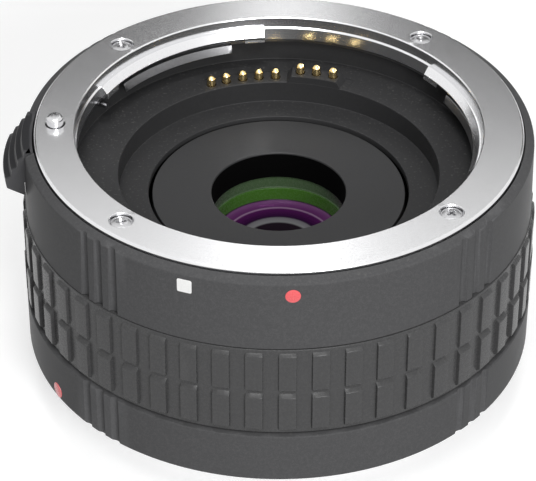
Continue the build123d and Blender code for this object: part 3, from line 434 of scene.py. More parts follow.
class NodeBench:
    """Adds and joins the nodes of one tree."""

    def __init__(self, tree: bpy.types.NodeTree) -> None:
        """Hold the tree that nodes are added to."""
        self.tree = tree

    def add(
        self, kind: str, inputs: dict[str | int, object] | None = None, **settings: object
    ) -> bpy.types.Node:
        """Add a node, set its options and fill or link its inputs.

        Args:
            kind: Node type.
            inputs: Value or output socket of each input, by name or number.
            settings: Options of the node.

        Returns:
            The node.
        """
        node = self.tree.nodes.new(kind)
        for name, value in settings.items():
            setattr(node, name, value)
        for key, value in (inputs or {}).items():
            if isinstance(value, bpy.types.NodeSocket):
                self.tree.links.new(value, node.inputs[key])
            else:
                node.inputs[key].default_value = value
        return node

    def math(self, operation: str, first: object, second: object) -> bpy.types.NodeSocket:
        """Join two numbers with one operation, limited to the range from 0 to 1."""
        inputs = {0: first, 1: second}
        return self.add("ShaderNodeMath", inputs, operation=operation, use_clamp=True).outputs[0]

    def noise(
        self, place: object, scale: object, detail: float = 3.0, **more: float
    ) -> bpy.types.NodeSocket:
        """Add noise and give its strength."""
        inputs = {"Vector": place, "Scale": scale, "Detail": detail, **more}
        return self.add("ShaderNodeTexNoise", inputs).outputs["Fac"]

    def spread(
        self, value: object, low: float, high: float, to_low: float = 0.0, to_high: float = 1.0
    ) -> bpy.types.NodeSocket:
        """Map a number from one range to another, smoothly at both ends."""
        inputs = {
            "Value": value, "From Min": low, "From Max": high, "To Min": to_low, "To Max": to_high
        }
        node = self.add("ShaderNodeMapRange", inputs, interpolation_type="SMOOTHSTEP")
        return node.outputs["Result"]

    def blend(self, mask: object, first: object, second: object) -> bpy.types.NodeSocket:
        """Mix two colours by a mask."""
        colours = {0: mask, 6: as_rgba(first), 7: as_rgba(second)}
        return self.add("ShaderNodeMix", colours, data_type="RGBA").outputs[2]

    def place(self) -> bpy.types.NodeSocket:
        """Give the place of a point on the piece."""
        return self.add("ShaderNodeTexCoord").outputs["Object"]

    def seen(self) -> bpy.types.NodeSocket:
        """Tell whether a ray comes from the camera, directly or by mirror or glass."""
        path = self.add("ShaderNodeLightPath").outputs
        mirrored = self.math("ADD", path["Is Glossy Ray"], path["Is Transmission Ray"])
        return self.math("ADD", path["Is Camera Ray"], mirrored)


def as_rgba(colour: object) -> object:
    """Give a plain colour its alpha, and leave a socket as it is."""
    return (*colour, 1.0) if isinstance(colour, tuple) and len(colour) == 3 else colour


def bare_material(name: str) -> tuple[bpy.types.Material, NodeBench]:
    """Make a material with no nodes, and the bench of its tree."""
    material = bpy.data.materials.new(name)
    material.use_nodes = True
    material.node_tree.nodes.clear()
    return material, NodeBench(material.node_tree)


def new_group(
    name: str, number_in: str, outputs: Sequence[str]
) -> tuple[NodeBench, bpy.types.NodeOutputs, bpy.types.NodeInputs]:
    """Start a shader node group that takes a place and a number, and gives numbers.

    Args:
        name: Name of the group.
        number_in: Name of the number that it takes.
        outputs: Names of the numbers that it gives.

    Returns:
        Bench for its tree, the sockets that it takes and the sockets that it gives.
    """
    tree = bpy.data.node_groups.new(name, "ShaderNodeTree")
    tree.interface.new_socket("Place", in_out="INPUT", socket_type="NodeSocketVector")
    tree.interface.new_socket(number_in, in_out="INPUT", socket_type="NodeSocketFloat")
    for label in outputs:
        tree.interface.new_socket(label, in_out="OUTPUT", socket_type="NodeSocketFloat")
    given, result = tree.nodes.new("NodeGroupInput"), tree.nodes.new("NodeGroupOutput")
    return NodeBench(tree), given.outputs, result.inputs


@cache
def grain_group() -> bpy.types.NodeTree:
    """Build, once, the fine grain that every finish has.

    Returns:
        Group that gives the height of the grain and a mask of its specks.
    """
    bench, given, result = new_group("fine_grain", "Pitch", ("Height", "Specks"))
    fine = bench.noise(given["Place"], given["Pitch"], 2.0, Roughness=0.6)
    wide_pitch = bench.add("ShaderNodeMath", {0: given["Pitch"], 1: 0.31}, operation="MULTIPLY")
    wide = bench.noise(given["Place"], wide_pitch.outputs[0], 2.0, Roughness=0.5)
    height = bench.add("ShaderNodeMix", {0: 0.35, 2: fine, 3: wide}, data_type="FLOAT").outputs[0]
    bench.tree.links.new(height, result["Height"])
    bench.tree.links.new(bench.spread(height, 0.42, 0.66), result["Specks"])
    return bench.tree


@cache
def wear_group() -> bpy.types.NodeTree:
    """Build, once, the traces that handling leaves.

    Returns:
        Group that gives masks of smudges, settled dust and rubbed edges.
    """
    bench, given, result = new_group("handling_traces", "Reach", ("Smudges", "Dust", "Rubbed"))
    cloud = bench.noise(given["Place"], given["Reach"], 4.0, Distortion=0.6)
    shape = bench.add("ShaderNodeNewGeometry").outputs
    upward = bench.add("ShaderNodeSeparateXYZ", {"Vector": shape["Normal"]}).outputs["Z"]
    specks = bench.spread(bench.noise(given["Place"], 2600.0), 0.58, 0.74)
    edges = bench.spread(shape["Pointiness"], 0.52, 0.6)
    masks = {
        "Smudges": bench.spread(cloud, 0.38, 0.66),
        "Dust": bench.math("MULTIPLY", specks, bench.spread(upward, 0.2, 0.95)),
        "Rubbed": bench.math("MULTIPLY", edges, bench.spread(cloud, 0.3, 0.6, 0.25)),
    }
    for label, mask in masks.items():
        bench.tree.links.new(mask, result[label])
    return bench.tree


class Finish:
    """Finish of a material slot, or of one piece in it."""

    slot: Slot
    variant: str

    def inputs(self, bench: NodeBench, place: bpy.types.NodeSocket) -> dict[str, object]:
        """Give the shader's inputs, each kind of finish in its own way."""
        raise NotImplementedError

    def make(self) -> bpy.types.Material:
        """Build the material.

        Returns:
            The material, ready for a piece.
        """
        material, bench = bare_material(f"{self.slot.value}_{self.variant}")
        shader = bench.add("ShaderNodeBsdfPrincipled", self.inputs(bench, bench.place()))
        bench.add("ShaderNodeOutputMaterial", {"Surface": shader.outputs["BSDF"]})
        return material


@dataclass(frozen=True)
class SurfaceFinish(Finish):
    """Finish of a solid surface, with its grain and its traces of use."""

    slot: Slot
    colour: Colour
    shade: Colour
    roughness: float
    roughness_drift: float = 0.06
    metallic: float = 0.0
    grain: float = 0.15
    relief: float = 0.004
    speckle: float = 0.3
    smudge: float = 0.25
    smudge_reach: float = 90.0
    dust: float = 0.0
    dust_colour: Colour = (0.35, 0.34, 0.32)
    rub: float = 0.0
    rub_colour: Colour = (0.3, 0.3, 0.31)
    specular: float = 0.5
    coat: float = 0.0
    coat_roughness: float = 0.1
    variant: str = "finish"

    def inputs(self, bench: NodeBench, place: bpy.types.NodeSocket) -> dict[str, object]:
        """Build the nodes that feed the shader.

        Args:
            bench: Bench of the material's tree.
            place: Place of a point on the piece.

        Returns:
            Value or output socket of each of the shader's inputs.
        """
        pitch = 1.0 / (self.grain * MILLIMETRE)
        grain = bench.add(
            "ShaderNodeGroup", {"Place": place, "Pitch": pitch}, node_tree=grain_group()
        ).outputs
        wear = bench.add(
            "ShaderNodeGroup", {"Place": place, "Reach": self.smudge_reach}, node_tree=wear_group()
        ).outputs
        speckled = bench.math("MULTIPLY", grain["Specks"], self.speckle)
        colour = bench.blend(speckled, self.colour, self.shade)
        traces = (("Dust", self.dust, self.dust_colour), ("Rubbed", self.rub, self.rub_colour))
        for label, strength, trace_colour in traces:
            if strength > 0.0:
                mask = bench.math("MULTIPLY", wear[label], strength)
                colour = bench.blend(mask, colour, trace_colour)
        smudged = bench.math("MULTIPLY", wear["Smudges"], self.smudge)
        grainy = bench.math("MULTIPLY", grain["Specks"], 1.0 - self.smudge)
        uneven = bench.math("ADD", smudged, grainy)
        low, high = self.roughness - self.roughness_drift, self.roughness + self.roughness_drift
        height = {"Strength": 1.0, "Distance": self.relief * MILLIMETRE, "Height": grain["Height"]}
        return {
            "Base Color": colour,
            "Roughness": bench.spread(uneven, 0.0, 1.0, low, high),
            "Normal": bench.add("ShaderNodeBump", height).outputs["Normal"],
            "Metallic": self.metallic,
            "Specular IOR Level": self.specular,
            "Coat Weight": self.coat,
            "Coat Roughness": self.coat_roughness,
        }


@dataclass(frozen=True)
class GlassFinish(Finish):
    """Finish of a coated glass element."""

    slot: Slot
    colour: Colour
    reflection: Colour
    roughness: float = 0.02
    haze: float = 0.05
    haze_pitch: float = 700.0
    clearness: float = 1.0
    index: float = 1.52
    variant: str = "finish"

    def tint(self, bench: NodeBench, place: bpy.types.NodeSocket) -> object:
        """Colour of the glass, the same all over."""
        return as_rgba(self.colour)

    def inputs(self, bench: NodeBench, place: bpy.types.NodeSocket) -> dict[str, object]:
        """Build the nodes that feed the shader.

        Args:
            bench: Bench of the material's tree.
            place: Place of a point on the piece.

        Returns:
            Value or output socket of each of the shader's inputs.
        """
        cloud = bench.noise(place, self.haze_pitch)
        return {
            "Base Color": self.tint(bench, place),
            "Roughness": bench.spread(cloud, 0.35, 0.7, self.roughness, self.roughness + self.haze),
            "IOR": self.index,
            "Transmission Weight": self.clearness,
            "Specular Tint": as_rgba(self.reflection),
        }


@dataclass(frozen=True)
class PaintedReflectionDish(GlassFinish):
    """Finish of the front glass, whose coated reflection is painted into its colour as rings of
    different colours.
    """

    slot: Slot = Slot.COATED_GLASS
    colour: Colour = (0.02, 0.012, 0.02)
    reflection: Colour = (0.85, 0.6, 1.0)
    roughness: float = 0.03
    haze: float = 0.06
    clearness: float = 0.4
    index: float = 1.6
    variant: str = "painted_reflection_dish"
    edge_r: float = 9.0
    # Painted reflection: these purple and grey rings stand in for light mirrored by the coated
    # glass. The grey rings from 5.0 to 5.7 mm are a painted highlight arc, and the pale ring at
    # 7.55 mm is a painted highlight line.
    painted_reflection_rings: tuple[tuple[float, Colour], ...] = (
        (4.7, (0.02, 0.012, 0.02)),
        (5.0, (0.3, 0.3, 0.31)),
        (5.7, (0.22, 0.21, 0.23)),
        (5.95, (0.03, 0.006, 0.04)),
        (7.3, (0.09, 0.012, 0.1)),
        (7.55, (0.4, 0.26, 0.4)),
        (7.7, (0.13, 0.03, 0.14)),
        (8.75, (0.19, 0.06, 0.2)),
        (8.95, (0.02, 0.01, 0.02)),
    )

    def tint(self, bench: NodeBench, place: bpy.types.NodeSocket) -> object:
        """Colour of the glass by its distance from the axis, which paints its reflection in as
        rings.

        Args:
            bench: Bench of the material's tree.
            place: Place of a point on the glass.

        Returns:
            Socket that gives the colour.
        """
        kind = "ShaderNodeVectorMath"
        flat = bench.add(kind, {0: place, 1: (1.0, 1.0, 0.0)}, operation="MULTIPLY")
        span = bench.add(kind, {0: flat.outputs[0]}, operation="LENGTH")
        share = bench.math("DIVIDE", span.outputs["Value"], self.edge_r * MILLIMETRE)
        # The ramp lays the painted reflection rings on by radius.
        ramp = bench.add("ShaderNodeValToRGB", {0: share})
        stops = ramp.color_ramp.elements
        for number, (radius, colour) in enumerate(((0.0, self.colour), *self.painted_reflection_rings)):
            stop = stops[number] if number < len(stops) else stops.new(radius / self.edge_r)
            stop.position = radius / self.edge_r
            stop.color = as_rgba(colour)
        return ramp.outputs["Color"]


FINISHES = (
    SurfaceFinish(
        Slot.BAYONET_STEEL, (0.85, 0.85, 0.86), (0.75, 0.75, 0.76), 0.22, metallic=1.0, grain=0.09,
        relief=0.0011, speckle=0.4, roughness_drift=0.035, smudge=0.12, rub=0.15,
        rub_colour=(0.92, 0.92, 0.92),
    ),
    SurfaceFinish(
        Slot.SCREW_STEEL, (0.6, 0.6, 0.61), (0.45, 0.45, 0.46), 0.3, metallic=1.0, grain=0.09,
        relief=0.0012, rub=0.3, rub_colour=(0.85, 0.85, 0.85),
    ),
    SurfaceFinish(
        Slot.SPRING_STEEL, (0.2, 0.2, 0.205), (0.14, 0.14, 0.15), 0.34, metallic=1.0, relief=0.001
    ),
    SurfaceFinish(
        Slot.PIN_STEEL, (0.7, 0.7, 0.71), (0.6, 0.6, 0.62), 0.24, metallic=1.0, relief=0.0008
    ),
    SurfaceFinish(
        Slot.BLACK_SHELL, (0.076, 0.076, 0.078), (0.112, 0.112, 0.114), 0.4, grain=0.14,
        relief=0.009, speckle=0.5, dust=0.1, rub=0.1, specular=0.02,
    ),
    SurfaceFinish(
        Slot.BLACK_LEVER, (0.022, 0.022, 0.024), (0.034, 0.034, 0.036), 0.4, grain=0.14,
        relief=0.005, rub=0.15, specular=0.14,
    ),
    SurfaceFinish(
        Slot.INNER_BLACK, (0.026, 0.026, 0.027), (0.036, 0.036, 0.037), 0.5, specular=0.35
    ),
    SurfaceFinish(
        Slot.LINER_PLASTIC, (0.03, 0.03, 0.031), (0.042, 0.042, 0.043), 0.5, grain=0.2,
        relief=0.008, dust=0.12, specular=0.16,
    ),
    SurfaceFinish(
        Slot.CONTACT_PLASTIC, (0.03, 0.03, 0.031), (0.042, 0.042, 0.043), 0.5, grain=0.18,
        relief=0.006, dust=0.12, specular=0.16,
    ),
    SurfaceFinish(Slot.BLACK_SCREW, (0.05, 0.05, 0.052), (0.08, 0.08, 0.08), 0.35, metallic=1.0),
    SurfaceFinish(
        Slot.GRIP_RUBBER, (0.058, 0.058, 0.059), (0.082, 0.082, 0.083), 0.3, grain=0.13,
        relief=0.006, speckle=0.5, dust=0.12, rub=0.06, rub_colour=(0.2, 0.2, 0.2), specular=0.16,
    ),
    SurfaceFinish(
        Slot.CONTACT_GOLD, (0.96, 0.74, 0.36), (0.85, 0.6, 0.26), 0.24, metallic=1.0, grain=0.08,
        relief=0.001, smudge=0.4,
    ),
    SurfaceFinish(
        Slot.BOARD_GREEN, (0.03, 0.16, 0.07), (0.05, 0.22, 0.1), 0.35, grain=0.4, coat=0.4
    ),
    SurfaceFinish(Slot.CHIP_BLACK, (0.02, 0.02, 0.02), (0.04, 0.04, 0.04), 0.5, grain=0.1),
    SurfaceFinish(
        Slot.FLEX_AMBER, (0.45, 0.2, 0.04), (0.35, 0.14, 0.03), 0.25, grain=0.3, relief=0.002
    ),
    GlassFinish(Slot.COATED_GLASS, (0.6, 0.35, 0.68), (0.45, 1.0, 0.5)),
    GlassFinish(Slot.INNER_GLASS, (0.8, 0.85, 0.8), (0.8, 0.35, 1.0)),
    SurfaceFinish(
        Slot.INDEX_RED, (0.78, 0.1, 0.11), (0.66, 0.06, 0.07), 0.3, grain=0.2, relief=0.002,
        speckle=0.4, coat=0.3,
    ),
    SurfaceFinish(
        Slot.INDEX_WHITE, (0.86, 0.86, 0.85), (0.75, 0.75, 0.74), 0.35, grain=0.2, relief=0.002,
        speckle=0.4, coat=0.2,
    ),
)


@dataclass
class Workshop:
    """Turns finished shapes into dressed pieces on their bodies."""

    palette: dict[Slot, bpy.types.Material]
    fitted: int = 0

    def fit(
        self,
        shape: BMesh,
        name: str,
        slot: Slot,
        node: str,
        body: str = Body.HOUSING.value,
        soften: float = 0.0,
        sharp: float = 34.0,
        finish: Finish | None = None,
    ) -> None:
        """Set a shape down in metres, dress it and put it on its body.

        Args:
            shape: Finished shape in millimetres, which is used up.
            name: Name of the piece.
            slot: Material slot that it takes its finish from.
            node: CAD node that it stands for.
            body: Body that it rides on.
            soften: Width of a bevel on the edges that are still sharp, in millimetres.
            sharp: Angle above which an edge stays sharp, in degrees.
            finish: Finish of this piece alone, where it differs from its slot's.
        """
        bmesh.ops.scale(shape, vec=(MILLIMETRE,) * 3, verts=shape.verts[:])
        piece = set_down(shape, name)
        data = piece.data
        data.shade_smooth()
        data.set_sharp_from_angle(angle=radians(sharp))
        data.materials.append(finish.make() if finish else self.palette[slot])
        if soften > 0.0:
            edge = piece.modifiers.new("softened_edges", "BEVEL")
            edge.width = soften * MILLIMETRE
            edge.segments = 2
            edge.limit_method = "ANGLE"
            edge.angle_limit = radians(sharp + 6.0)
            edge.use_clamp_overlap = True
        even = piece.modifiers.new("even_shading", "WEIGHTED_NORMAL")
        even.keep_sharp = True
        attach(piece, body)
        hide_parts(node)
        self.fitted += 1
        log.info("%s: %d faces on %s", name, len(data.polygons), body)


# Silver parts


@dataclass
class CrossScrew:
    """Screw with a rounded head and a cross recess."""

    length: float
    head_r: float = 1.45
    head_height: float = 0.8
    rim_share: float = 0.8
    crown_share: float = 0.55
    shank_r: float = 0.8
    recess_width: float = 0.42
    recess_reach: float = 0.62
    recess_depth: float = 0.55
    recess_taper: float = 0.55
    recess_overcut: float = 0.3

    def shape(self, turn: float) -> BMesh:
        """Make the screw with its seat at height zero.

        Args:
            turn: Angle of the recess, in degrees.

        Returns:
            Closed solid on the axis.
        """
        corners = [
            (0.0, -self.length), (self.shank_r, -self.length), (self.shank_r, 0.0),
            (self.head_r, 0.0), (self.head_r, self.head_height * self.rim_share, 0.16),
            (self.head_r * self.crown_share, self.head_height, 0.2), (0.0, self.head_height),
        ]
        cross = bmesh.new()
        bmesh.ops.create_cube(cross, size=self.recess_width)
        sides = [face for face in cross.faces if abs(face.normal.z) < 0.5]
        for side in sides:
            outwards = side.normal * self.recess_reach
            grown = bmesh.ops.extrude_face_region(cross, geom=[side])["geom"]
            ends = [item for item in grown if isinstance(item, bmesh.types.BMVert)]
            bmesh.ops.translate(cross, verts=ends, vec=outwards)
        spare = [face for face in sides if face.is_valid]
        bmesh.ops.delete(cross, geom=spare, context="FACES_ONLY")
        low = [point for point in cross.verts if point.co.z < 0.0]
        bmesh.ops.scale(cross, vec=(self.recess_taper, self.recess_taper, 1.0), verts=low)
        for point in cross.verts:
            reach = -self.recess_depth if point in low else self.recess_overcut
            point.co.z = self.head_height + reach
        return swung(carved(turned_shell(corners, steps=48), closed(cross), Carving.CUT), turn)


@dataclass
class MountRing:
    """Silver mount ring with four screws and a hole for the lock pin."""

    side: str
    roll: float
    screw_circle: float
    screw_seat_z: float
    screw_length: float
    recess_turns: tuple[float, ...]
    lock_seat_z: float

    def ring(self) -> BMesh:
        """Make the ring, each mount in its own way."""
        raise NotImplementedError

    def bored(self, ring: BMesh, foot_z: float, face_z: float) -> BMesh:
        """Bore four screw holes and the lock pin's hole.

        Args:
            ring: Ring to bore, which is used up.
            foot_z: Height where the holes' tools end.
            face_z: Height of the face that they enter.

        Returns:
            The bored ring.
        """
        up = cos(radians(self.roll))
        screw = (SCREW_HOLE_R, self.screw_seat_z, SCREW_SEAT_R)
        spots = [(self.screw_circle, turn, *screw) for turn in SCREW_TURNS]
        spots.append((LOCK_CIRCLE, LOCK_TURN, LOCK_HOLE_R, self.lock_seat_z, LOCK_HOLE_R))
        tools = []
        for circle, turn, radius, step_z, head_r in spots:
            tool = drill(radius, up * foot_z, up * step_z, head_r, up * face_z)
            tools.append(set_out(swung(tool, self.roll, "X"), circle, turn))
        return carved(ring, gathered(tools), Carving.CUT)

    def build(self, workshop: Workshop) -> None:
        """Fit the ring and its four screws.

        Args:
            workshop: Workshop that dresses them.
        """
        name, node = f"{self.side}_ring_turned", f"{self.side}_bayonet_ring"
        workshop.fit(self.ring(), name, Slot.BAYONET_STEEL, node, soften=0.05)
        screws = []
        for turn, recess in zip(SCREW_TURNS, self.recess_turns):
            screw = swung(CrossScrew(self.screw_length).shape(recess), self.roll, "X")
            screws.append(set_out(screw, self.screw_circle, turn, self.screw_seat_z))
        name, node = f"{self.side}_ring_cross_screws", f"{self.side}_ring_screws"
        workshop.fit(gathered(screws), name, Slot.SCREW_STEEL, node)


@dataclass
class FrontBayonetRing(MountRing):
    """Silver ring that a lens turns into, with its stepped throat, lugs and screws."""

    side: str = "front"
    roll: float = 0.0
    screw_circle: float = 29.7
    screw_seat_z: float = 32.6
    screw_length: float = 5.0
    recess_turns: tuple[float, ...] = (-55.6, -113.6, -215.6, -276.6)
    lock_seat_z: float = 32.0
    throat_r: float = 27.05
    land_r: float = 27.27
    land_step: float = 0.22
    tube_r: float = 28.5
    rim_r: float = 32.7
    seat_z: float = 33.6
    flange_foot_z: float = 31.6
    tube_foot_z: float = 30.1
    bevel: float = 0.13
    chamfer: float = 0.25
    lug_r: float = 25.9
    lug_top_z: float = 32.1
    lug_foot_z: float = 30.3
    lug_root: float = 0.7
    lug_spans: tuple[float, ...] = (56.1, 60.7, 58.0)
    lug_flat: float = 0.3
    lug_lean: float = 0.12
    lug_edge: float = 0.1
    relief_z: float = 31.0
    relief_end: float = 6.3
    relief_root: float = 1.1
    relief_overcut: float = 0.5

    def ring(self) -> BMesh:
        """Make the ring with its lugs, counterbores and lock hole.

        Returns:
            Closed solid.
        """
        corners = [
            (self.throat_r, self.tube_foot_z, 0.06), (self.tube_r, self.tube_foot_z, 0.06),
            (self.tube_r, self.flange_foot_z), (self.rim_r, self.flange_foot_z, 0.08),
            (self.rim_r, self.seat_z - self.chamfer, 0.06),
            (self.rim_r - self.chamfer, self.seat_z, 0.06),
            (self.land_r + self.bevel, self.seat_z, 0.05),
            (self.land_r, self.seat_z - self.bevel, 0.05), (self.land_r, self.lug_top_z),
            (self.throat_r, self.lug_top_z - self.land_step, 0.04),
        ]
        lug = [
            (self.lug_r, self.lug_foot_z, 0.06),
            (self.throat_r + self.lug_root, self.lug_foot_z),
            (self.throat_r + self.lug_root, self.lug_top_z),
            (self.throat_r - self.lug_flat, self.lug_top_z, 0.08),
            (self.lug_r + self.lug_lean, self.relief_z + self.lug_edge, 0.08),
        ]
        inner_r, outer_r = self.lug_r - self.relief_overcut, self.throat_r + self.relief_root
        relief = band(inner_r, outer_r, self.lug_foot_z - self.relief_overcut, self.relief_z)
        relief_spans = [span - 2 * self.relief_end for span in self.lug_spans]
        ring = turned_shell(corners, RING_STEPS)
        ring = at_each_lug(ring, lug, self.lug_spans, 40, Carving.WELD)
        ring = at_each_lug(ring, relief, relief_spans, 30, Carving.CUT)
        return self.bored(ring, self.tube_foot_z - OVERCUT, self.seat_z)


@dataclass
class LeafSprings:
    """Flat ring below the throat with one sloping leaf in each lug's relief."""

    bore_r: float = 27.1
    outer_r: float = 28.45
    foot_z: float = 29.7
    top_z: float = 30.1
    leaf_spans: tuple[float, ...] = (35.5, 40.0, 37.4)
    leaf: tuple[Corner, ...] = (
        (25.98, 28.9, 0.06), (26.2, 28.9), (26.6, 29.8), (27.3, 29.8), (27.3, 30.05),
        (26.42, 30.05, 0.12),
    )

    def build(self, workshop: Workshop) -> None:
        """Fit the springs.

        Args:
            workshop: Workshop that dresses them.
        """
        ring = turned_shell(band(self.bore_r, self.outer_r, self.foot_z, self.top_z))
        spans = zip(LUG_CENTRES, self.leaf_spans)
        leaves = [turned_sector(self.leaf, centre, span / 2, 30) for centre, span in spans]
        whole = gathered([ring, *leaves])
        workshop.fit(whole, "lug_leaf_springs", Slot.SPRING_STEEL, "mount_leaf_springs")


@dataclass
class RearBayonetRing(MountRing):
    """Silver ring that turns into a camera body, with its spigot, tabs and screws."""

    side: str = "rear"
    roll: float = 180.0
    screw_circle: float = 28.8
    screw_seat_z: float = 1.0
    screw_length: float = 3.6
    recess_turns: tuple[float, ...] = tuple(turn / 3 for turn in SCREW_TURNS)
    lock_seat_z: float = 1.2
    spigot_bore_r: float = 24.2
    spigot_r: float = 25.4
    spigot_foot_z: float = -5.2
    rim_r: float = 32.4
    top_z: float = 1.7
    chamfer: float = 0.25
    tab_r: float = 26.85
    tab_root: float = 0.6
    tab_top_z: float = -3.95
    tab_spans: tuple[float, ...] = (50.0, 55.0, 54.0)

    def ring(self) -> BMesh:
        """Make the ring with its tabs, counterbores and lock hole.

        Returns:
            Closed solid.
        """
        corners = [
            (self.spigot_bore_r, self.spigot_foot_z, 0.08),
            (self.spigot_r, self.spigot_foot_z, 0.08),
            (self.spigot_r, 0.0), (self.rim_r - self.chamfer, 0.0, 0.06),
            (self.rim_r, self.chamfer, 0.06), (self.rim_r, self.top_z),
            (self.spigot_bore_r, self.top_z),
        ]
        root_r = self.spigot_r - self.tab_root
        tab = band(root_r, self.tab_r, self.spigot_foot_z, self.tab_top_z, (0.0, 0.15, 0.1, 0.0))
        ring = turned_shell(corners, RING_STEPS)
        ring = at_each_lug(ring, tab, self.tab_spans, 40, Carving.WELD)
        return self.bored(ring, self.top_z + OVERCUT, 0.0)


# Black body


@dataclass(frozen=True)
class IndexMark:
    """Painted mark let into a band."""

    name: str
    node: str
    slot: Slot
    angle: float
    height: float
    band_r: float
    half_size: float
    square: bool = False
    square_round: float = 0.25
    dot_round: float = 0.04
    depth: float = 0.25
    rise: float = 0.03

    def slug(self) -> BMesh:
        """Make the mark's solid.

        Returns:
            Closed solid in place.
        """
        reach = self.depth + self.rise
        if self.square:
            mesh = bmesh.new()
            bmesh.ops.create_cube(mesh, size=2 * self.half_size)
            for point in mesh.verts:
                point.co.z = reach if point.co.z > 0.0 else 0.0
            rounded(mesh, upright_edges(mesh), self.square_round, 6)
        else:
            mesh = post(self.half_size, 0.0, reach, self.dot_round, steps=56, segments=2)
        return stood_out(mesh, self.angle, self.band_r - self.depth, self.height)

    def build(self, workshop: Workshop) -> None:
        """Fit the mark."""
        soften = 0.03 if self.square else 0.0
        workshop.fit(self.slug(), self.name, self.slot, self.node, soften=soften)


@dataclass
class FrontBarrel:
    """Black front barrel: sloping lip, smooth band, flutes and the lever's pocket."""

    collar_bore_r: float = 28.55
    lip_r: float = 32.9
    lip_z: float = 33.1
    shoulder_r: float = 34.1
    shoulder_z: float = 32.5
    band_foot_r: float = 34.3
    band_foot_z: float = 22.55
    core_r: float = 33.1
    core_foot_z: float = 5.0
    core_bore_r: float = 31.4
    upper_bore_r: float = 32.4
    upper_bore_z: float = 25.9
    flange_z: float = 31.6
    flange_foot_z: float = 30.1
    flute_circle: float = 34.55
    boss_foot_z: float = 25.37
    boss_circle: float = 30.6
    boss_r: float = 2.0
    boss_bore_r: float = 0.85
    pocket_centre: float = 182.0
    pocket_half: float = 8.75
    pocket_floor_z: float = 26.5
    pocket_overcut: float = 0.2
    marks: tuple[IndexMark, ...] = (
        IndexMark("front_dot_inlay", "front_index_dot", Slot.INDEX_RED, -87.2, 30.8, 34.134, 0.975),
        IndexMark(
            "front_square_inlay", "front_index_square", Slot.INDEX_WHITE, -110.3, 30.8, 34.134,
            0.98, square=True,
        ),
    )

    def shell(self) -> BMesh:
        """Make the barrel with everything that is cut into it.

        Returns:
            Closed solid.
        """
        corners = [
            (self.collar_bore_r, self.flange_z), (self.lip_r, self.flange_z),
            (self.lip_r, self.lip_z, 0.06), (self.shoulder_r, self.shoulder_z, 0.2),
            (self.band_foot_r, self.band_foot_z, 0.1), (self.core_r, self.band_foot_z),
            (self.core_r, self.core_foot_z), (self.core_bore_r, self.core_foot_z),
            (self.core_bore_r, self.upper_bore_z), (self.upper_bore_r, self.upper_bore_z),
            (self.upper_bore_r, self.flange_foot_z), (self.collar_bore_r, self.flange_foot_z),
        ]
        top_z = self.lip_z + OVERCUT / 2
        inner_r, outer_r = self.upper_bore_r - self.pocket_overcut, self.band_foot_r + OVERCUT
        pocket = band(inner_r, outer_r, self.pocket_floor_z, top_z)
        pocket = turned_sector(pocket, self.pocket_centre, self.pocket_half, 12)
        shell = turned_shell(corners, segments=4)
        return fluted(shell, self.flute_circle, self.band_foot_z - OVERCUT, top_z, pocket)

    def boss(self, turn: float) -> BMesh:
        """Make the boss that takes one screw of the front ring.

        Args:
            turn: Angle of the boss, in degrees.

        Returns:
            Closed solid in place.
        """
        rounds = (0.0, 0.15, 0.0, 0.0)
        tube = band(self.boss_bore_r, self.boss_r, self.boss_foot_z, self.flange_foot_z, rounds)
        return set_out(turned_shell(tube, steps=40), self.boss_circle, turn)

    def build(self, workshop: Workshop) -> None:
        """Fit the barrel and its two marks.

        Args:
            workshop: Workshop that dresses them.
        """
        bosses = [self.boss(turn) for turn in SCREW_TURNS]
        whole = gathered([self.shell(), *bosses])
        workshop.fit(whole, "front_barrel_shell", Slot.BLACK_SHELL, "front_barrel", soften=0.07)
        for mark in self.marks:
            mark.build(workshop)


@dataclass
class RearBarrel:
    """Black rear barrel below the grip, with its flutes and red mark."""

    opening_r: float = 25.55
    seat_r: float = 26.375
    seat_z: float = 2.75
    ring_top_z: float = 1.7
    ring_bore_r: float = 32.45
    foot_z: float = 1.2
    band_r: float = 34.9
    top_z: float = 8.6
    rim_chamfer: float = 0.15
    thread_r: float = 33.15
    floor_z: float = 5.0
    flute_circle: float = 35.25
    mark: IndexMark = IndexMark(
        "rear_dot_inlay", "rear_index_dot", Slot.INDEX_RED, -148.6, 2.56, 34.9, 1.1
    )

    def build(self, workshop: Workshop) -> None:
        """Fit the barrel and its mark.

        Args:
            workshop: Workshop that dresses them.
        """
        corners = [
            (self.opening_r, self.seat_z), (self.seat_r, self.seat_z),
            (self.seat_r, self.ring_top_z), (self.ring_bore_r, self.ring_top_z),
            (self.ring_bore_r, self.foot_z, 0.08), (self.band_r, self.foot_z, 0.4),
            (self.band_r, self.top_z - self.rim_chamfer, 0.06),
            (self.band_r - self.rim_chamfer, self.top_z, 0.05), (self.thread_r, self.top_z),
            (self.thread_r, self.floor_z), (self.opening_r, self.floor_z),
        ]
        foot_z, top_z = self.foot_z - OVERCUT, self.top_z + OVERCUT
        shell = fluted(turned_shell(corners, segments=4), self.flute_circle, foot_z, top_z)
        workshop.fit(shell, "rear_barrel_shell", Slot.BLACK_SHELL, "rear_barrel", soften=0.07)
        self.mark.build(workshop)


@dataclass(frozen=True)
class BlockRow:
    """One row of raised blocks round the grip."""

    top_z: float
    foot_z: float
    rise: float
    slope: float


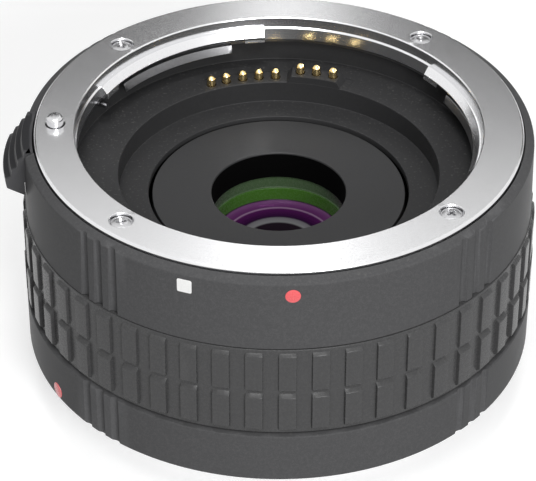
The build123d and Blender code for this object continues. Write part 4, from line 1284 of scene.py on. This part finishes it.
@dataclass
class GripRing:
    """Rubber sleeve with two rows of raised blocks."""

    bore_r: float = 33.15
    base_r: float = 34.4
    foot_z: float = 8.95
    top_z: float = 22.45
    block_count: int = 51
    block_half_angle: float = 1.85
    block_root: float = 0.3
    first_block: float = -88.25
    rows: tuple[BlockRow, ...] = (
        BlockRow(21.95, 15.75, 0.4, 0.38),
        BlockRow(15.42, 9.45, 0.54, 0.45),
    )

    def blocks(self, row: BlockRow) -> BMesh:
        """Make one block and repeat it round the row.

        Args:
            row: Row to fill.

        Returns:
            All blocks of the row.
        """
        face_r, root_r = self.base_r + row.rise, self.base_r - self.block_root
        corners = [
            (root_r, row.foot_z), (self.base_r, row.foot_z), (face_r, row.foot_z + row.slope, 0.12),
            (face_r, row.top_z - row.slope, 0.12), (self.base_r, row.top_z), (root_r, row.top_z),
        ]
        mesh = turned_sector(corners, self.first_block, self.block_half_angle, 3, end_round=0.09)
        more = self.block_count - 1
        spun(mesh, tau / self.block_count * more, more, use_duplicate=True)
        bmesh.ops.recalc_face_normals(mesh, faces=mesh.faces[:])
        return mesh

    def build(self, workshop: Workshop) -> None:
        """Fit the sleeve with its blocks.

        Args:
            workshop: Workshop that dresses it.
        """
        rounds = (0.0, 0.12, 0.12, 0.0)
        sleeve = turned_shell(band(self.bore_r, self.base_r, self.foot_z, self.top_z, rounds))
        whole = gathered([sleeve, *(self.blocks(row) for row in self.rows)])
        workshop.fit(whole, "grip_sleeve_ribbed", Slot.GRIP_RUBBER, "grip_ring")


@dataclass
class ReleaseLever:
    """Thumb lever with stepped ridges, and the lock pin that it pulls down."""

    centre: float = 182.0
    half_angle: float = 8.5
    top_z: float = 33.0
    inner_r: float = 33.5
    block_r: float = 32.95
    block_outer_r: float = 34.1
    block_foot_z: float = 28.4
    crown_r: float = 22.4
    crown_half_angle: float = 20.0
    ridge_r: float = 34.35
    ridge_reach: float = 0.9
    ridge_drop: float = 1.3
    ridge_count: int = 3
    riser: float = 0.95
    riser_lean: float = 0.15
    wall_lean: float = 0.1
    wall_height: float = 1.3
    heel_r: float = 34.54
    heel_drop: float = 1.5
    trim: tuple[float, ...] = (31.4, 38.1, 20.0, 36.0)
    tongue: tuple[float, ...] = (30.7, 33.25, 29.25, 30.05)
    tongue_turn: float = 6.5
    tongue_half_angle: float = 2.0
    pin_r: float = 1.15
    pin_top_z: float = 34.9
    pin_round: float = 0.5
    tail_r: float = 0.7
    tail_overlap: float = 0.1

    def stairs(self) -> list[Corner]:
        """Outline of the pad, with radii measured from the axis of the ring.

        Returns:
            Corners from the top of the pad round to its back.
        """
        corners = [(self.inner_r, self.top_z)]
        for step in range(self.ridge_count):
            step_r = self.ridge_r + step * self.ridge_reach
            step_z = self.top_z - step * self.ridge_drop
            foot_r, foot_z = step_r + self.riser_lean, step_z - self.riser
            corners += [(step_r, step_z, 0.1), (foot_r, foot_z, 0.08)]
        edge_r = self.ridge_r + self.ridge_count * self.ridge_reach
        edge_z = self.top_z - self.ridge_count * self.ridge_drop
        wall_z = edge_z - self.wall_height
        return corners + [
            (edge_r, edge_z, 0.15), (edge_r - self.wall_lean, wall_z, 0.2),
            (self.heel_r, wall_z - self.heel_drop, 0.15), (self.heel_r, self.block_foot_z),
            (self.inner_r, self.block_foot_z),
        ]

    def pad(self) -> BMesh:
        """Make the crowned pad with its block.

        Returns:
            Closed solid.
        """
        shift = self.ridge_r - self.crown_r
        crowned = [(radius - shift, *rest) for radius, *rest in self.stairs()]
        pad = set_out(turned_sector(crowned, 0.0, self.crown_half_angle, 36), shift, self.centre)
        trim = turned_sector(band(*self.trim), self.centre, self.half_angle, 8)
        rounds = (0.0, 0.0, 0.0, 0.1)
        block = band(self.block_r, self.block_outer_r, self.block_foot_z, self.top_z, rounds)
        block = turned_sector(block, self.centre, self.half_angle, 8)
        return carved(carved(pad, trim, Carving.KEEP), block, Carving.WELD)

    def build(self, workshop: Workshop) -> None:
        """Fit the lever and the lock pin.

        Args:
            workshop: Workshop that dresses them.
        """
        turns = [self.centre + side * self.tongue_turn for side in (-1, 1)]
        tongue = band(*self.tongue)
        tongues = [turned_sector(tongue, turn, self.tongue_half_angle, 3) for turn in turns]
        lever = gathered([self.pad(), *tongues])
        body = Body.RELEASE.value
        name = "release_lever_pad"
        workshop.fit(lever, name, Slot.BLACK_LEVER, "release_lever", body, soften=0.12)
        foot_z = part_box("lock_pin")[0].z / MILLIMETRE
        head_foot_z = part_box("lock_carrier")[1].z / MILLIMETRE
        head = post(self.pin_r, head_foot_z, self.pin_top_z, self.pin_round, segments=6)
        tail = post(self.tail_r, foot_z, head_foot_z + self.tail_overlap, steps=32)
        pin = set_out(gathered([head, tail]), LOCK_CIRCLE, LOCK_TURN)
        workshop.fit(pin, "lock_pin_polished", Slot.PIN_STEEL, "lock_pin", body)


# Inside the throat


@dataclass
class FrontLiner:
    """Black liner: rim, shelf and the well behind the throat."""

    well_r: float = 21.7
    hole_r: float = 17.7
    tube_r: float = 28.5
    rim_width: float = 0.5
    shelf_z: float = 26.27
    shelf_foot_z: float = 24.47
    rim_z: float = 29.7
    well_floor_z: float = 23.1
    well_foot_z: float = 22.2
    wall: float = 0.9
    skin: float = 0.4
    contact_centre: float = 91.25
    contact_half: float = 27.25
    contact_r: float = 24.65
    contact_foot_z: float = 20.0
    stop_r: float = 0.42
    stop_turn: float = 154.5
    stop_z: float = 29.1
    stop_inner_r: float = 25.5
    stop_reach: float = 5.0
    ear: tuple[float, ...] = (28.0, 31.2, 24.47, 25.37)
    ear_half_angle: float = 3.2

    def build(self, workshop: Workshop) -> None:
        """Fit the liner.

        Args:
            workshop: Workshop that dresses it.
        """
        rim_r, wall_r = self.tube_r - self.rim_width, self.well_r + self.wall
        corners = [
            (self.well_r, self.shelf_z, 0.14), (rim_r, self.shelf_z, 0.1),
            (rim_r, self.rim_z, 0.05), (self.tube_r, self.rim_z, 0.05),
            (self.tube_r, self.shelf_foot_z), (wall_r, self.shelf_foot_z),
            (wall_r, self.well_foot_z), (self.hole_r, self.well_foot_z),
            (self.hole_r, self.well_floor_z, 0.12), (self.well_r, self.well_floor_z, 0.1),
        ]
        skin_r, top_z = self.well_r + self.skin, self.shelf_z + OVERCUT
        opening = band(skin_r, self.contact_r, self.contact_foot_z, top_z)
        opening = turned_sector(opening, self.contact_centre, self.contact_half, 36)
        stop_hole = post(self.stop_r, 0.0, self.stop_reach, steps=24)
        stop_hole = stood_out(stop_hole, self.stop_turn, self.stop_inner_r, self.stop_z)
        shell = carved(turned_shell(corners), opening, Carving.CUT)
        shell = carved(shell, stop_hole, Carving.CUT)
        ear = band(*self.ear, (0.0, 0.1, 0.1, 0.0))
        ears = [turned_sector(ear, turn, self.ear_half_angle, 4) for turn in SCREW_TURNS]
        whole = gathered([shell, *ears])
        workshop.fit(whole, "front_liner_moulded", Slot.LINER_PLASTIC, "front_liner", soften=0.05)


@dataclass
class ContactRow:
    """Contact block on the shelf, stepped up under three of its eight spring pins."""

    inner_r: float = 21.7
    skin: float = 0.4
    outer_r: float = 24.6
    ends: tuple[float, float] = (64.04, 118.46)
    foot_z: float = 20.1
    shelf_z: float = 26.27
    raised_z: float = 27.22
    raised_inset: float = 0.3
    raised_foot: tuple[float, float] = (66.0, 87.4)
    raised_top: tuple[float, float] = (68.1, 85.1)
    pin_r: float = 0.6
    pin_rise: float = 1.4
    well_depth: float = 1.2
    well_play: float = 0.08
    well_flare: float = 0.06
    bore_r: float = 0.3
    bore_depth: float = 2.0
    tail_r: float = 0.35
    tail_overlap: float = 0.1
    raised_lap: float = 0.02

    def raised_part(self) -> BMesh:
        """Make the step with its sloping ends.

        Returns:
            Closed solid.
        """
        inner_r, outer_r = self.inner_r + self.raised_lap, self.outer_r - self.raised_inset
        foot_z = self.shelf_z - self.raised_inset
        first, last = self.raised_foot
        top_first, top_last = self.raised_top
        corners = band(inner_r, outer_r, foot_z, self.raised_z, (0.0, 0.0, 0.16, 0.1))
        mesh = turned_sector(corners, 0.0, (last - first) / 2, 16)
        narrowing = (top_last - top_first) / (last - first) - 1.0
        foot_middle = (first + last) / 2
        drift = (top_first + top_last) / 2 - foot_middle
        for point in mesh.verts:
            lift = max(0.0, (point.co.z - self.shelf_z) / (self.raised_z - self.shelf_z))
            angle = -degrees(Vector((1.0, 0.0)).angle_signed(point.co.xy, 0.0))
            turn = radians(angle * (1.0 + narrowing * lift) + foot_middle + drift * lift)
            radius = point.co.xy.length
            point.co.xy = (radius * cos(turn), radius * sin(turn))
        return mesh

    def pin(self, node: str, turn: float, top_z: float) -> BMesh:
        """Make one pin with its round tip.

        Args:
            node: CAD node that it stands for, whose foot it reaches.
            turn: Angle of the pin, in degrees.
            top_z: Height of the face that it stands out of.

        Returns:
            Closed solids in place.
        """
        foot_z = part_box(node)[0].z / MILLIMETRE
        stem_foot_z, tip_z = top_z - self.well_depth, top_z + self.pin_rise
        tip = bowl(self.pin_r, tip_z - self.pin_r, tip_z, 10)
        stem = turned_shell([*tip, (self.pin_r, stem_foot_z), (0.0, stem_foot_z)], steps=32)
        tail = post(self.tail_r, foot_z, stem_foot_z + self.tail_overlap, steps=20)
        return set_out(gathered([stem, tail]), PIN_CIRCLE, turn)

    def build(self, workshop: Workshop) -> None:
        """Fit the block and its eight pins.

        Args:
            workshop: Workshop that dresses them.
        """
        first, last = self.ends
        rounds = (0.0, 0.0, 0.05, 0.0)
        corners = band(self.inner_r + self.skin, self.outer_r, self.foot_z, self.shelf_z, rounds)
        block = turned_sector(corners, (first + last) / 2, (last - first) / 2, 36)
        block = carved(block, self.raised_part(), Carving.WELD)
        tops = [self.raised_z] * len(RAISED_PINS) + [self.shelf_z] * len(LOW_PINS)
        wells = []
        for turn, top_z in zip(PIN_TURNS, tops):
            foot_z, seat_z = top_z - self.bore_depth, top_z - self.well_depth
            head_r = self.pin_r + self.well_play
            well = drill(self.bore_r, foot_z, seat_z, head_r, top_z, self.well_flare)
            wells.append(set_out(well, PIN_CIRCLE, turn))
        block = carved(block, gathered(wells), Carving.CUT)
        name = "front_contact_moulding"
        workshop.fit(block, name, Slot.CONTACT_PLASTIC, "front_contact_block", soften=0.03)
        for number, (turn, top_z) in enumerate(zip(PIN_TURNS, tops), start=1):
            node = f"contact_pin_{number}"
            pin = self.pin(node, turn, top_z)
            workshop.fit(pin, f"gold_pin_{number}", Slot.CONTACT_GOLD, node, f"pin_{number}")


@dataclass
class FrontOptics:
    """Baffle disc with its tube, the cell ring below it and the front glass, whose colours carry
    painted reflection.
    """

    disc_r: float = 17.2
    disc_z: float = 22.7
    disc_foot_z: float = 21.8
    aperture_r: float = 9.15
    tube_r: float = 10.4
    tube_foot_z: float = 18.6
    tube_bore_r: float = 9.12
    tube_top_z: float = 22.45
    overlap: float = 0.05
    cell_top_r: float = 9.45
    cell_waist_r: float = 9.35
    cell_step_z: float = 16.8
    cell_seat_r: float = 9.15
    cell_lip_r: float = 9.25
    glass_clear_r: float = 9.0
    glass_r: float = 10.4
    glass_z: float = 14.9
    glass_middle_z: float = 13.45
    glass_foot_z: float = 12.1
    glass_back_middle_z: float = 12.6
    glass_back_clear_r: float = 9.2
    flock: SurfaceFinish = SurfaceFinish(
        Slot.INNER_BLACK, (0.002, 0.002, 0.002), (0.003, 0.003, 0.003), 0.85, specular=0.03,
        variant="flock",
    )
    # Painted reflection: the cell ring's pale green upper tone and saturated green seat tone stand
    # in for the green reflection of the coated front glass.
    cell_painted_reflection: SurfaceFinish = SurfaceFinish(
        Slot.INNER_BLACK, (0.075, 0.13, 0.06), (0.08, 0.11, 0.072), 0.3, specular=0.4, coat=0.3,
        variant="pale_green_painted_reflection",
    )
    seat_painted_reflection: SurfaceFinish = SurfaceFinish(
        Slot.INNER_BLACK, (0.06, 0.17, 0.022), (0.05, 0.15, 0.025), 0.3, specular=0.4, coat=0.3,
        variant="green_painted_reflection",
    )

    def glass(self) -> list[Corner]:
        """Outline of the front glass, from the middle of its front round to its back."""
        front = bowl(self.glass_clear_r, self.glass_z, self.glass_middle_z)
        back = bowl(self.glass_back_clear_r, self.glass_foot_z, self.glass_back_middle_z)
        edge = (self.glass_r, self.glass_z), (self.glass_r, self.glass_foot_z)
        return [*front, *edge, *reversed(back)]

    def build(self, workshop: Workshop) -> None:
        """Fit the disc, the ring and the glass.

        Args:
            workshop: Workshop that dresses them.
        """
        disc = [
            (self.aperture_r, self.disc_z, 0.18), (self.disc_r, self.disc_z, 0.1),
            (self.disc_r, self.disc_foot_z, 0.05), (self.aperture_r, self.disc_foot_z),
        ]
        tube = [
            (self.tube_bore_r, self.tube_top_z), (self.tube_r, self.disc_foot_z - self.overlap),
            (self.tube_r, self.tube_foot_z), (self.tube_bore_r, self.tube_foot_z, 0.04),
        ]
        step_foot_z = self.cell_step_z - self.overlap
        cell = [
            (self.cell_top_r, self.tube_foot_z, 0.03), (self.tube_r, self.tube_foot_z),
            (self.tube_r, step_foot_z), (self.cell_lip_r, step_foot_z),
            (self.cell_seat_r, self.cell_step_z, 0.03), (self.cell_waist_r, self.cell_step_z, 0.03),
        ]
        seat_z = self.cell_step_z - 2 * self.overlap
        seat = [
            (self.cell_seat_r, seat_z, 0.05), (self.tube_r, seat_z),
            (self.tube_r, self.glass_z), (self.glass_clear_r, self.glass_z),
        ]
        black = Slot.INNER_BLACK
        ring = "front_cell_ring"
        workshop.fit(turned_shell(disc), "baffle_disc_turned", black, "baffle_disc")
        # The cell ring's two pieces carry the painted green reflection.
        for corners, name, node, finish in (
            (tube, "baffle_tube_flocked", "baffle_disc", self.flock),
            (cell, "front_cell_turned", ring, self.cell_painted_reflection),
            (seat, "front_cell_seat", ring, self.seat_painted_reflection),
        ):
            workshop.fit(turned_shell(corners), name, black, node, finish=finish)
        workshop.fit(
            turned_shell(self.glass()), "front_lens_polished", Slot.COATED_GLASS, "front_lens",
            sharp=50.0, finish=PaintedReflectionDish(),
        )


# Rear side


@dataclass
class RearShroud:
    """Black sleeve inside the spigot with its window plate and the gold pads."""

    bore_r: float = 21.6
    outer_r: float = 24.15
    foot_z: float = -6.3
    ring_top_z: float = 1.7
    flange_r: float = 26.3
    top_z: float = 2.7
    plate_z: float = -1.4
    plate_foot_z: float = -2.4
    plate_root: float = 0.6
    window: Point = (21.0, 15.0, 4.0)
    window_round: float = 1.5
    notch: tuple[float, float] = (66.0, 118.0)
    notch_play: float = 0.06
    block_play: float = 0.5
    block_step: float = 86.6
    block_lap: float = 0.01
    low_face_z: float = -6.2
    high_face_z: float = -5.25
    pad_r: float = 0.7
    pad_proud: float = 0.02
    pad_thickness: float = 0.4
    tail_r: float = 0.35
    tail_top_z: float = 3.5

    def sleeve(self) -> BMesh:
        """Make the sleeve with its window plate and notch.

        Returns:
            Closed solid.
        """
        corners = [
            (self.bore_r, self.foot_z, 0.15), (self.outer_r, self.foot_z, 0.2),
            (self.outer_r, self.ring_top_z), (self.flange_r, self.ring_top_z),
            (self.flange_r, self.top_z), (self.bore_r, self.top_z),
        ]
        plate = band(0.0, self.bore_r + self.plate_root, self.plate_foot_z, self.plate_z)
        window = bmesh.new()
        bmesh.ops.create_cube(window, size=1.0)
        bmesh.ops.scale(window, vec=self.window, verts=window.verts[:])
        moved(window, (0.0, 0.0, (self.plate_z + self.plate_foot_z) / 2))
        rounded(window, upright_edges(window), self.window_round, 8)
        plate = carved(turned_shell(plate), window, Carving.CUT)
        sleeve = carved(turned_shell(corners), plate, Carving.WELD)
        first, last = self.notch
        inner_r, outer_r = self.bore_r - self.notch_play, self.flange_r + OVERCUT
        cut = band(inner_r, outer_r, self.foot_z - OVERCUT, self.top_z + OVERCUT)
        cut = turned_sector(cut, (first + last) / 2, (last - first) / 2, 36)
        return carved(sleeve, cut, Carving.CUT)

    def contact_block(self) -> BMesh:
        """Make the block that carries the pads.

        Returns:
            Closed solid.
        """
        first, last = self.notch[0] + self.block_play, self.notch[1] - self.block_play
        halves = []
        for start, end, face_z in (
            (first, self.block_step, self.high_face_z), (self.block_step, last, self.low_face_z)
        ):
            corners = band(self.bore_r, self.outer_r, face_z, self.top_z, (0.12, 0.12, 0.0, 0.0))
            half_angle = (end - start) / 2 + self.block_lap
            halves.append(turned_sector(corners, (start + end) / 2, half_angle, 18))
        flange = band(self.bore_r, self.flange_r, self.ring_top_z, self.top_z)
        flange = turned_sector(flange, (first + last) / 2, (last - first) / 2, 36)
        return carved(carved(*halves, Carving.WELD), flange, Carving.WELD)

    def pad(self, face_z: float) -> BMesh:
        """Make one pad with its tail, on the axis.

        Args:
            face_z: Height of the face that it lies in.

        Returns:
            Closed solid.
        """
        foot_z, back_z = face_z - self.pad_proud, face_z + self.pad_thickness
        corners = [
            (0.0, foot_z), (self.pad_r, foot_z, 0.08), (self.pad_r, back_z),
            (self.tail_r, back_z), (self.tail_r, self.tail_top_z), (0.0, self.tail_top_z),
        ]
        return turned_shell(corners, steps=32)

    def build(self, workshop: Workshop) -> None:
        """Fit the sleeve, the contact block and its pads.

        Args:
            workshop: Workshop that dresses them.
        """
        name, slot = "rear_shroud_moulded", Slot.LINER_PLASTIC
        workshop.fit(self.sleeve(), name, slot, "rear_shroud", soften=0.06)
        name, slot = "rear_contact_moulding", Slot.CONTACT_PLASTIC
        workshop.fit(self.contact_block(), name, slot, "rear_contact_block", soften=0.06)
        faces = [self.high_face_z] * len(RAISED_PINS) + [self.low_face_z] * len(LOW_PINS)
        spots = zip(PIN_TURNS, faces)
        pads = [set_out(self.pad(face_z), PIN_CIRCLE, turn) for turn, face_z in spots]
        workshop.fit(gathered(pads), "rear_gold_pads", Slot.CONTACT_GOLD, "rear_contact_pads")


# Studio


@dataclass
class PhotoCamera:
    """Camera that stands where the photograph was taken from."""

    position: Point = (-1.443, -281.937, 221.756)
    right: Point = (0.99999921, 0.00074566, 0.00101324)
    up: Point = (-0.00125804, 0.59271482, 0.80541142)
    back: Point = (0.0, -0.80541206, 0.59271529)
    lens: float = 170.25
    sensor: float = 36.0
    clip: tuple[float, float] = (0.01, 20.0)

    def build(self) -> None:
        """Set the camera up and make it the scene's own."""
        data = bpy.data.cameras.new("photo_camera")
        data.lens = self.lens
        data.sensor_width = self.sensor
        data.clip_start, data.clip_end = self.clip
        camera = bpy.data.objects.new("photo_camera", data)
        axes = Matrix((self.right, self.up, self.back)).transposed().to_4x4()
        camera.matrix_world = Matrix.Translation(Vector(self.position) * MILLIMETRE) @ axes
        bpy.context.scene.collection.objects.link(camera)
        bpy.context.scene.camera = camera


@dataclass(frozen=True)
class SoftBox:
    """Soft studio lamp, whose distance and size are in metres."""

    name: str
    azimuth: float
    elevation: float
    distance: float
    width: float
    height: float
    power: float
    aim: Point = (0.0, 0.0, 0.015)

    def build(self) -> None:
        """Hang the lamp and point it at the part."""
        data = bpy.data.lights.new(self.name, "AREA")
        data.shape = "RECTANGLE"
        data.size = self.width
        data.size_y = self.height
        data.energy = self.power
        lamp = bpy.data.objects.new(self.name, data)
        turn, tilt = radians(self.azimuth), radians(self.elevation)
        direction = Vector((cos(turn) * cos(tilt), sin(turn) * cos(tilt), sin(tilt)))
        lamp.location = Vector(self.aim) + direction * self.distance
        lamp.rotation_euler = direction.to_track_quat("Z", "Y").to_euler()
        bpy.context.scene.collection.objects.link(lamp)


@dataclass
class Studio:
    """Pale floor, white surroundings, soft lamps and a grey card, with sizes in metres."""

    floor_z: float = -0.0063
    floor_size: float = 3.0
    floor_colour: Colour = (0.6, 0.6, 0.6)
    floor_fibres: Colour = (0.64, 0.64, 0.64)
    fibre_pitch: float = 900.0
    floor_glow: float = 0.5
    fill: float = 0.12
    lamps: tuple[SoftBox, ...] = (
        SoftBox("front_low", -71.0, 24.0, 1.0, 0.35, 0.3, 6.2),
        SoftBox("front_high", -92.0, 56.0, 0.9, 0.42, 0.2, 2.9),
        SoftBox("top_box", -90.0, 88.0, 0.7, 0.26, 0.16, 1.7),
        SoftBox("rear_strip", 89.5, 33.0, 0.5, 0.035, 0.26, 0.036),
    )
    card_y: float = 0.51
    card_width: float = 1.2
    card_span: tuple[float, float] = (0.03, 0.392)
    card_tone: float = 0.05

    def build(self) -> None:
        """Lay the floor, hang the card, set the surroundings and hang the lamps."""
        mesh = bmesh.new()
        bmesh.ops.create_grid(mesh, x_segments=2, y_segments=2, size=self.floor_size / 2)
        floor = set_down(moved(mesh, (0.0, 0.0, self.floor_z)), "studio_floor")
        floor.data.materials.append(self.floor_material())
        self.grey_card()
        self.surroundings()
        for lamp in self.lamps:
            lamp.build()

    def grey_card(self) -> None:
        """Hang the grey card behind the part, which only the silver parts and the glass mirror."""
        low, high = self.card_span
        mesh = bmesh.new()
        bmesh.ops.create_grid(mesh, x_segments=2, y_segments=2, size=0.5)
        bmesh.ops.scale(mesh, vec=(self.card_width, high - low, 1.0), verts=mesh.verts[:])
        moved(swung(mesh, 90.0, "X"), (0.0, self.card_y, (low + high) / 2))
        material, bench = bare_material("studio_card_grey")
        grey = bench.add("ShaderNodeEmission", {"Color": WHITE, "Strength": self.card_tone})
        bench.add("ShaderNodeOutputMaterial", {"Surface": grey.outputs[0]})
        card = set_down(mesh, "studio_card")
        card.data.materials.append(material)
        card.visible_camera = False
        card.visible_diffuse = False
        card.visible_shadow = False

    def floor_material(self) -> bpy.types.Material:
        """Make the pale matt floor.

        Returns:
            The material.
        """
        material, bench = bare_material("studio_floor_paper")
        fibres = bench.noise(bench.place(), self.fibre_pitch)
        colour = bench.blend(fibres, self.floor_colour, self.floor_fibres)
        paper = bench.add("ShaderNodeBsdfDiffuse", {"Color": colour}).outputs[0]
        glow = bench.add("ShaderNodeEmission", {"Color": WHITE, "Strength": self.floor_glow})
        both = bench.add("ShaderNodeAddShader", {0: paper, 1: glow.outputs[0]}).outputs[0]
        mixed = bench.add("ShaderNodeMixShader", {0: bench.seen(), 1: paper, 2: both})
        bench.add("ShaderNodeOutputMaterial", {"Surface": mixed.outputs[0]})
        return material

    def surroundings(self) -> None:
        """Make the world white where it is seen and a soft fill elsewhere."""
        world = bpy.data.worlds.new("studio_surroundings")
        world.use_nodes = True
        world.node_tree.nodes.clear()
        bench = NodeBench(world.node_tree)
        fill, white = (
            bench.add("ShaderNodeBackground", {"Color": WHITE, "Strength": strength}).outputs[0]
            for strength in (self.fill, 1.0)
        )
        mixed = bench.add("ShaderNodeMixShader", {0: bench.seen(), 1: fill, 2: white})
        bench.add("ShaderNodeOutputWorld", {"Surface": mixed.outputs[0]})
        bpy.context.scene.world = world


def dress_frame(
    nodes: dict[str, bpy.types.Object], record: dict, palette: dict[Slot, bpy.types.Material]
) -> None:
    """Give every CAD node the finish of its slot.

    Args:
        nodes: CAD nodes by name.
        record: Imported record, which names the slot of each node.
        palette: Finish of each slot.
    """
    for subpart in record["subparts"]:
        materials = nodes[subpart["node"]].data.materials
        materials.clear()
        materials.append(palette[Slot(subpart["material_slot"])])


def main() -> None:
    """Build the camera, the pieces and the studio in order."""
    logging.basicConfig(level=logging.INFO, format="%(message)s")
    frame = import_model()
    bpy.context.scene.view_settings.view_transform = "Standard"
    PhotoCamera().build()
    palette = {finish.slot: finish.make() for finish in FINISHES}
    dress_frame(frame["nodes"], frame["record"], palette)
    workshop = Workshop(palette)
    parts = (
        FrontBayonetRing(),
        LeafSprings(),
        FrontBarrel(),
        GripRing(),
        RearBarrel(),
        ReleaseLever(),
        FrontLiner(),
        ContactRow(),
        FrontOptics(),
        RearBayonetRing(),
        RearShroud(),
    )
    for part in parts:
        part.build(workshop)
        log.info("%s built", type(part).__name__)
    Studio().build()
    log.info("%d pieces fitted", workshop.fitted)


if __name__ == "__main__":
    main()
